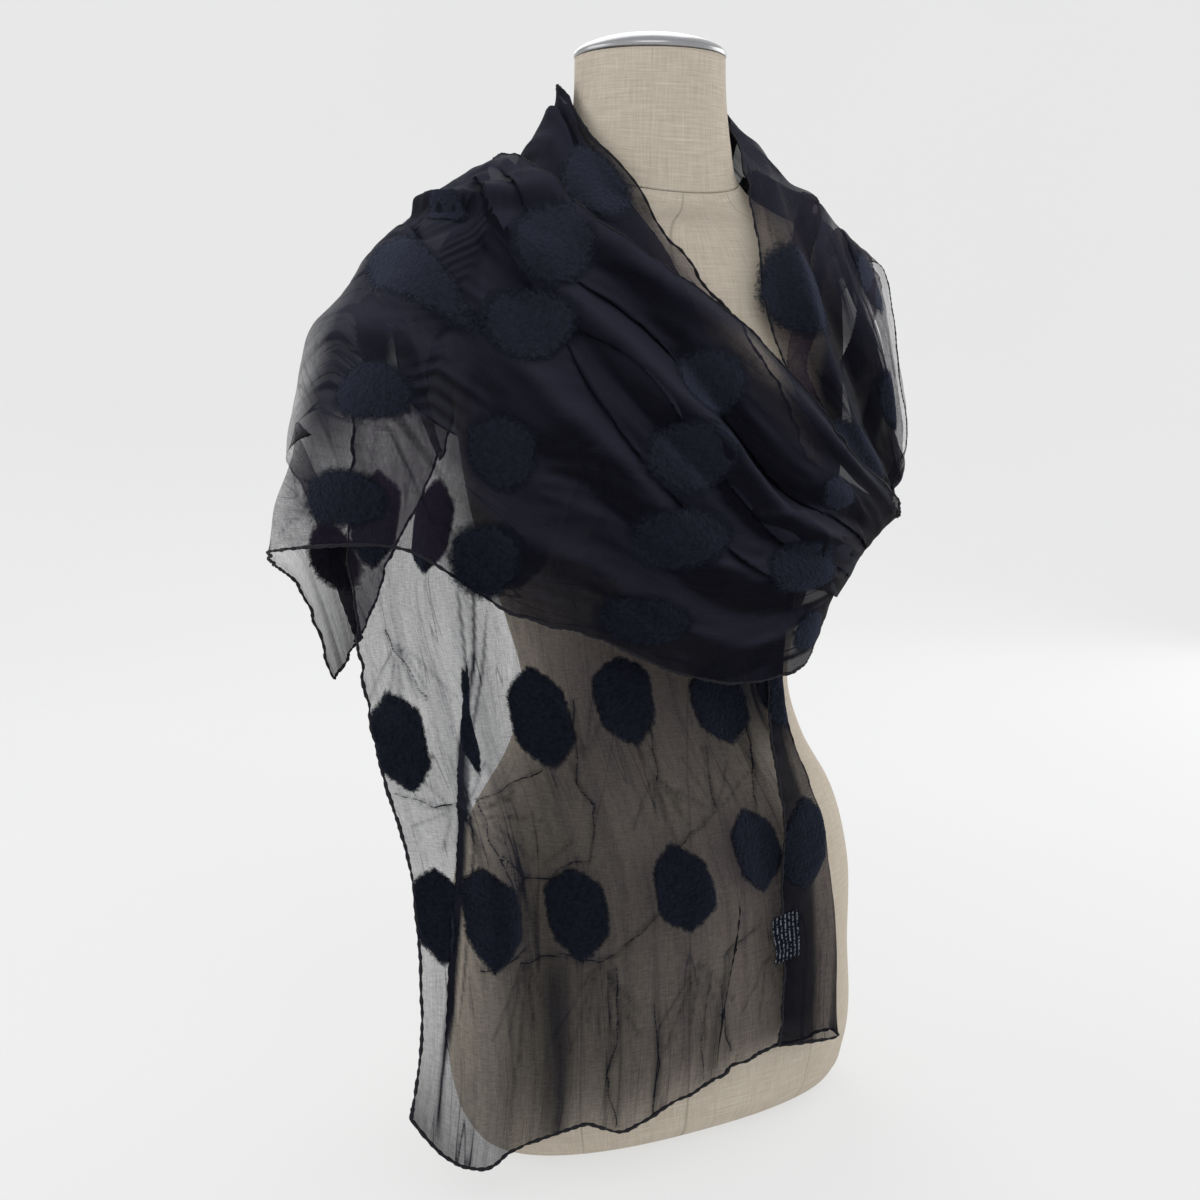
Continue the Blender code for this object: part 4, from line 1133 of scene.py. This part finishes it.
def dot_rim(angle, corners, draw):
    """How far out a dot's rim is at each angle: a soft hexagon, never quite even."""
    turns = draw.uniform(0, 2 * np.pi, len(RIM_WAVES))
    hexagon = np.cos(np.pi / 6) / np.cos(angle % (np.pi / 3) - np.pi / 6)
    uneven = sum(high * np.sin(count * angle + turn) for (count, high), turn in zip(RIM_WAVES, turns))
    return (1.02 + corners * (hexagon - 1.0)) * (1 + uneven) * draw.uniform(0.96, 1.05) * 1.08


def felt_dot(scarf, k, dot, material):
    """One felt dot, matted onto both faces of the cloth."""
    bm = bmesh.new()
    bmesh.ops.create_uvsphere(bm, u_segments=40, v_segments=16, radius=1.0)
    mesh = take_mesh(bm, "felt_dot")
    x, y, z = read_points(mesh).T
    away = np.minimum(np.hypot(x, y), 1.0)
    lay = LAID if dot.along > LAID_FROM else HUNG
    rim = dot_rim(np.arctan2(y, x), lay.corners, np.random.RandomState(300 + k))
    u = x * rim * DOT_LONG / 2 * dot.kind.long
    v = y * rim * DOT_WIDE / 2 * dot.kind.wide * lay.wider
    turn = np.radians(dot.kind.turn)
    long, wide = scarf.spread(dot)
    along = dot.along + (u * np.cos(turn) - v * np.sin(turn)) / np.clip(long, 0.6, 1.3)
    across = u * np.sin(turn) + v * np.cos(turn)
    if lay is LAID:
        spot, out = scarf.on_top(along, dot.across + across / wide)
    else:
        spot, out = scarf.at(along, dot.flat + across / np.clip(wide, 0.6, 1.3))
    thick = np.sqrt(np.maximum(1 - away ** 5, 0.0)) * np.sign(z) * np.minimum(np.abs(z) * 4, 1)
    set_points(mesh, spot + out * (DOT_THICK * lay.thicker * thick)[:, None])
    # Painted top light: a lighter colour for felt that faces up, raised for laid dots and lowered for hung
    # ones.
    paint(mesh, rim=1 - (1 - away) * lay.rim, upward=np.clip(1.25 * out[:, 2] + lay.light, 0.0, 1.0))
    name = "felt_dot_%02d" % (k + 1)
    return worn_piece(name, mesh, material, (name,))


def label_piece(scarf, material):
    """The bare woven label, sewn to the turned margin's hem."""
    low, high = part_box("care_label")
    middle = (Vector(low) + Vector(high)) / 2 / CM
    near = np.linalg.norm(scarf.p - np.array(middle), axis=-1)
    i, j = np.unravel_index(near.argmin(), near.shape)
    columns, rows = 20, 28
    mesh, column, row = grid_mesh("care_label", columns, rows)
    x, y = column / columns - 0.5, row / rows - 0.5
    along = scarf.s[i] - 0.7 + y * LABEL_LONG
    flat = scarf.flat[i, j] + 1.1 + x * LABEL_WIDE
    spot, out = scarf.at(along, flat)

    # past the hem it goes straight on, the way that the cloth's last stretch points
    last = 0.8
    edge = scarf.at(along, np.full(len(flat), FLAT_WIDE))[0]
    way = (edge - scarf.at(along, np.full(len(flat), FLAT_WIDE - last))[0]) / last
    spot = spot + way * np.maximum(flat - FLAT_WIDE, 0.0)[:, None]
    if out.mean(axis=0)[1] > 0:
        out = -out
    lift = 0.10 + 0.05 * np.cos(np.pi * y) + 0.10 * x ** 2
    set_points(mesh, spot + out * lift[:, None])
    scale_uv(mesh, LABEL_LONG * CM, LABEL_WIDE * CM)
    piece = worn_piece("care_label_bare", mesh, material, ("care_label",))
    wall = piece.modifiers.new("Wall", "SOLIDIFY")
    wall.thickness = 0.0005
    wall.offset = 0.0


def scarf_pieces():
    """Every stretch, hem and dot of the scarf, and its label."""
    scarf = Scarf()
    sheer, hem, felt = sheer_finish(), hem_finish(), felt_finish()
    cloths = []
    for part in STRETCHES:
        piece, rows, along = cloth_piece(scarf, part, sheer)
        cloths.append((part, piece, along, hems(scarf, part, rows, hem)))
    for k, dot in enumerate(scarf.dots):
        felt_dot(scarf, k, dot, felt)
    label_piece(scarf, label_finish())
    for part, piece, along, edges in cloths:
        round(along * CM, 3)


# ---------------------------------------------------------------- the dress form
def form_points(angles, z):
    """Points round the form at the given heights."""
    sizes = curve(FORM_Z, FORM_SIZES, z)
    half_w, mid_y, front, back, power = sizes.T
    c, s = np.cos(angles), np.sin(angles)
    x = np.sign(c) * np.abs(c) ** (2 / power) * half_w
    y = np.sign(s) * np.abs(s) ** (2 / power) * np.where(s < 0, front, back)
    return np.stack([x, y + mid_y, z], axis=1)


def form_body(name, heights, tilts, seams, girth, material, node):
    """A closed linen body, raised from a circle ring by ring, each with its own tilt.

    Girth is how many metres of weave there are to a radian round it.
    """
    bm = bmesh.new()
    bmesh.ops.create_circle(bm, cap_ends=True, segments=FORM_RING, radius=1.0)
    layer = bm.loops.layers.uv.new("UVMap")
    from_seam = bm.verts.layers.float.new("from_seam")
    ring = list(bm.verts)
    angles = np.array([np.arctan2(v.co.y, v.co.x) for v in ring])
    bottom = list(bm.faces)[0]
    edges = list(bottom.edges)
    where = {v: (a, 0) for v, a in zip(ring, angles)}
    for k in range(1, len(heights)):
        made = bmesh.ops.extrude_edge_only(bm, edges=edges)["geom"]
        fresh = [g for g in made if isinstance(g, bmesh.types.BMVert)]
        edges = [g for g in made if isinstance(g, bmesh.types.BMEdge) and all(v in fresh for v in g.verts)]
        for v in fresh:
            where[v] = (np.arctan2(v.co.y, v.co.x), k)
    bmesh.ops.contextual_create(bm, geom=edges)
    verts = list(where)
    spin = np.array([where[v][0] for v in verts])
    level = np.array([where[v][1] for v in verts])
    points = form_points(spin, np.asarray(heights)[level])
    points[:, 2] += np.asarray(tilts)[level] * points[:, 1]
    for v, point in zip(verts, points):
        v.co = Vector(point) * CM
    lines = np.radians(seams)
    gap = np.abs((spin[:, None] - lines + np.pi) % (2 * np.pi) - np.pi).min(axis=1)
    for v, g in zip(verts, gap):
        v[from_seam] = np.hypot(v.co.x, v.co.y) / CM * min(g, 0.3)
    sizes = curve(FORM_Z, FORM_SIZES, heights)
    run = np.hypot(np.diff(heights), np.diff(sizes[:, 2]))
    run = np.concatenate([[0.0], np.cumsum(run)]) * CM
    for face in bm.faces:
        for loop in face.loops:
            angle, row = where[loop.vert]
            loop[layer].uv = (angle * girth, run[row])
    bmesh.ops.recalc_face_normals(bm, faces=bm.faces[:])
    worn_piece(name, take_mesh(bm, name), material, (node,))


def cap_piece(material):
    """The turned cap: a lip, a band and a low dome."""
    low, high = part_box("neck_cap")
    base, top = low[2] / CM, high[2] / CM
    band = base + 0.30
    outline = [(0.0, base), (5.8, base), (CAP_RADIUS - 0.1, base + 0.02), (CAP_RADIUS, base + 0.10),
               (CAP_RADIUS, band)]
    for x in np.sin(np.linspace(np.pi / 2, 0, 18)[1:]):
        outline.append((CAP_RADIUS * x, band + (top - band) * (1 - x * x) ** 0.62))
    mesh = turned_mesh("neck_cap", [(out * CM, up * CM) for out, up in outline])
    worn_piece("neck_cap_polished", mesh, material, ("neck_cap",))


def dress_form():
    """The linen torso and neck, either side of a tilted seam, and the cap."""
    heights = np.concatenate([np.linspace(0.0, 4.0, 12), np.linspace(4.0, TORSO_TOP, 84)[1:]])
    tilts = SEAM_TILT * ease((heights - SHOULDER_TOP) / (TORSO_TOP - SHOULDER_TOP))
    form_body("form_linen", heights, tilts, TORSO_SEAMS, 0.14, linen_finish("linen_body"), "form_torso")
    heights = np.concatenate([[TORSO_TOP + 0.04], np.linspace(TORSO_TOP + 0.2, NECK_TOP, 16)])
    tilts = SEAM_TILT * (1 - ease((heights - TORSO_TOP) / 5.0))
    form_body("form_neck_linen", heights, tilts, NECK_SEAMS, 0.062, linen_finish("linen_neck"), "form_neck")
    cap_piece(chrome_finish())


# ---------------------------------------------------------------- the studio, in metres
def bowl_stage():
    """A pale floor that curves up into a round backdrop."""
    flat, curl, rim = 2.4, 1.4, 4.2
    outline = [(0.0, 0.0), (flat / 2, 0.0), (flat, 0.0)]
    for angle in np.linspace(0, np.pi / 2, 14)[1:]:
        outline.append((flat + curl * np.sin(angle), curl - curl * np.cos(angle)))
    outline.append((flat + curl, rim))
    smooth_piece("studio_floor", turned_mesh("studio_floor", outline), floor_finish())


def soft_light(name, place, target, size, power):
    """A square lamp that points at a target and doesn't show itself."""
    lamp = bpy.data.lights.new(name, "AREA")
    lamp.size = size
    lamp.energy = power
    made = bpy.data.objects.new(name, lamp)
    made.location = place
    made.rotation_euler = (Vector(target) - Vector(place)).to_track_quat("-Z", "Y").to_euler()
    made.visible_camera = False
    bpy.context.scene.collection.objects.link(made)


def camera():
    """The camera, to the right front of the form and a little above its middle."""
    view = bpy.data.cameras.new("camera")
    view.lens = 46.88
    view.sensor_width = 36.0
    made = bpy.data.objects.new("camera", view)
    made.location = (-0.6483, -1.1489, 0.6757)
    turn, tilt = np.radians(27.68), np.radians(9.76)
    look = Vector((np.sin(turn) * np.cos(tilt), np.cos(turn) * np.cos(tilt), -np.sin(tilt)))
    made.rotation_euler = look.to_track_quat("-Z", "Y").to_euler()
    bpy.context.scene.collection.objects.link(made)
    bpy.context.scene.camera = made


def studio():
    """Even daylight, four soft lamps and the stage."""
    scene = bpy.context.scene
    world = bpy.data.worlds.new("studio")
    world.use_nodes = True
    back = world.node_tree.nodes["Background"]
    back.inputs["Color"].default_value = (0.97, 0.985, 1.0, 1.0)
    back.inputs["Strength"].default_value = 0.8
    scene.world = world
    scene.view_settings.view_transform = "Standard"
    bowl_stage()
    soft_light("key", (-0.9, -1.7, 2.3), (0, 0, 0.55), 1.6, 11.0)
    soft_light("right", (2.1, 0.3, 0.9), (0, 0, 0.4), 1.6, 17.0)
    soft_light("left", (-1.9, 0.9, 1.2), (0, 0, 0.5), 1.6, 10.0)
    soft_light("back", (0.6, 2.1, 2.1), (0, 0, 0.6), 1.8, 16.0)


camera()
studio()
dress_form()
scarf_pieces()
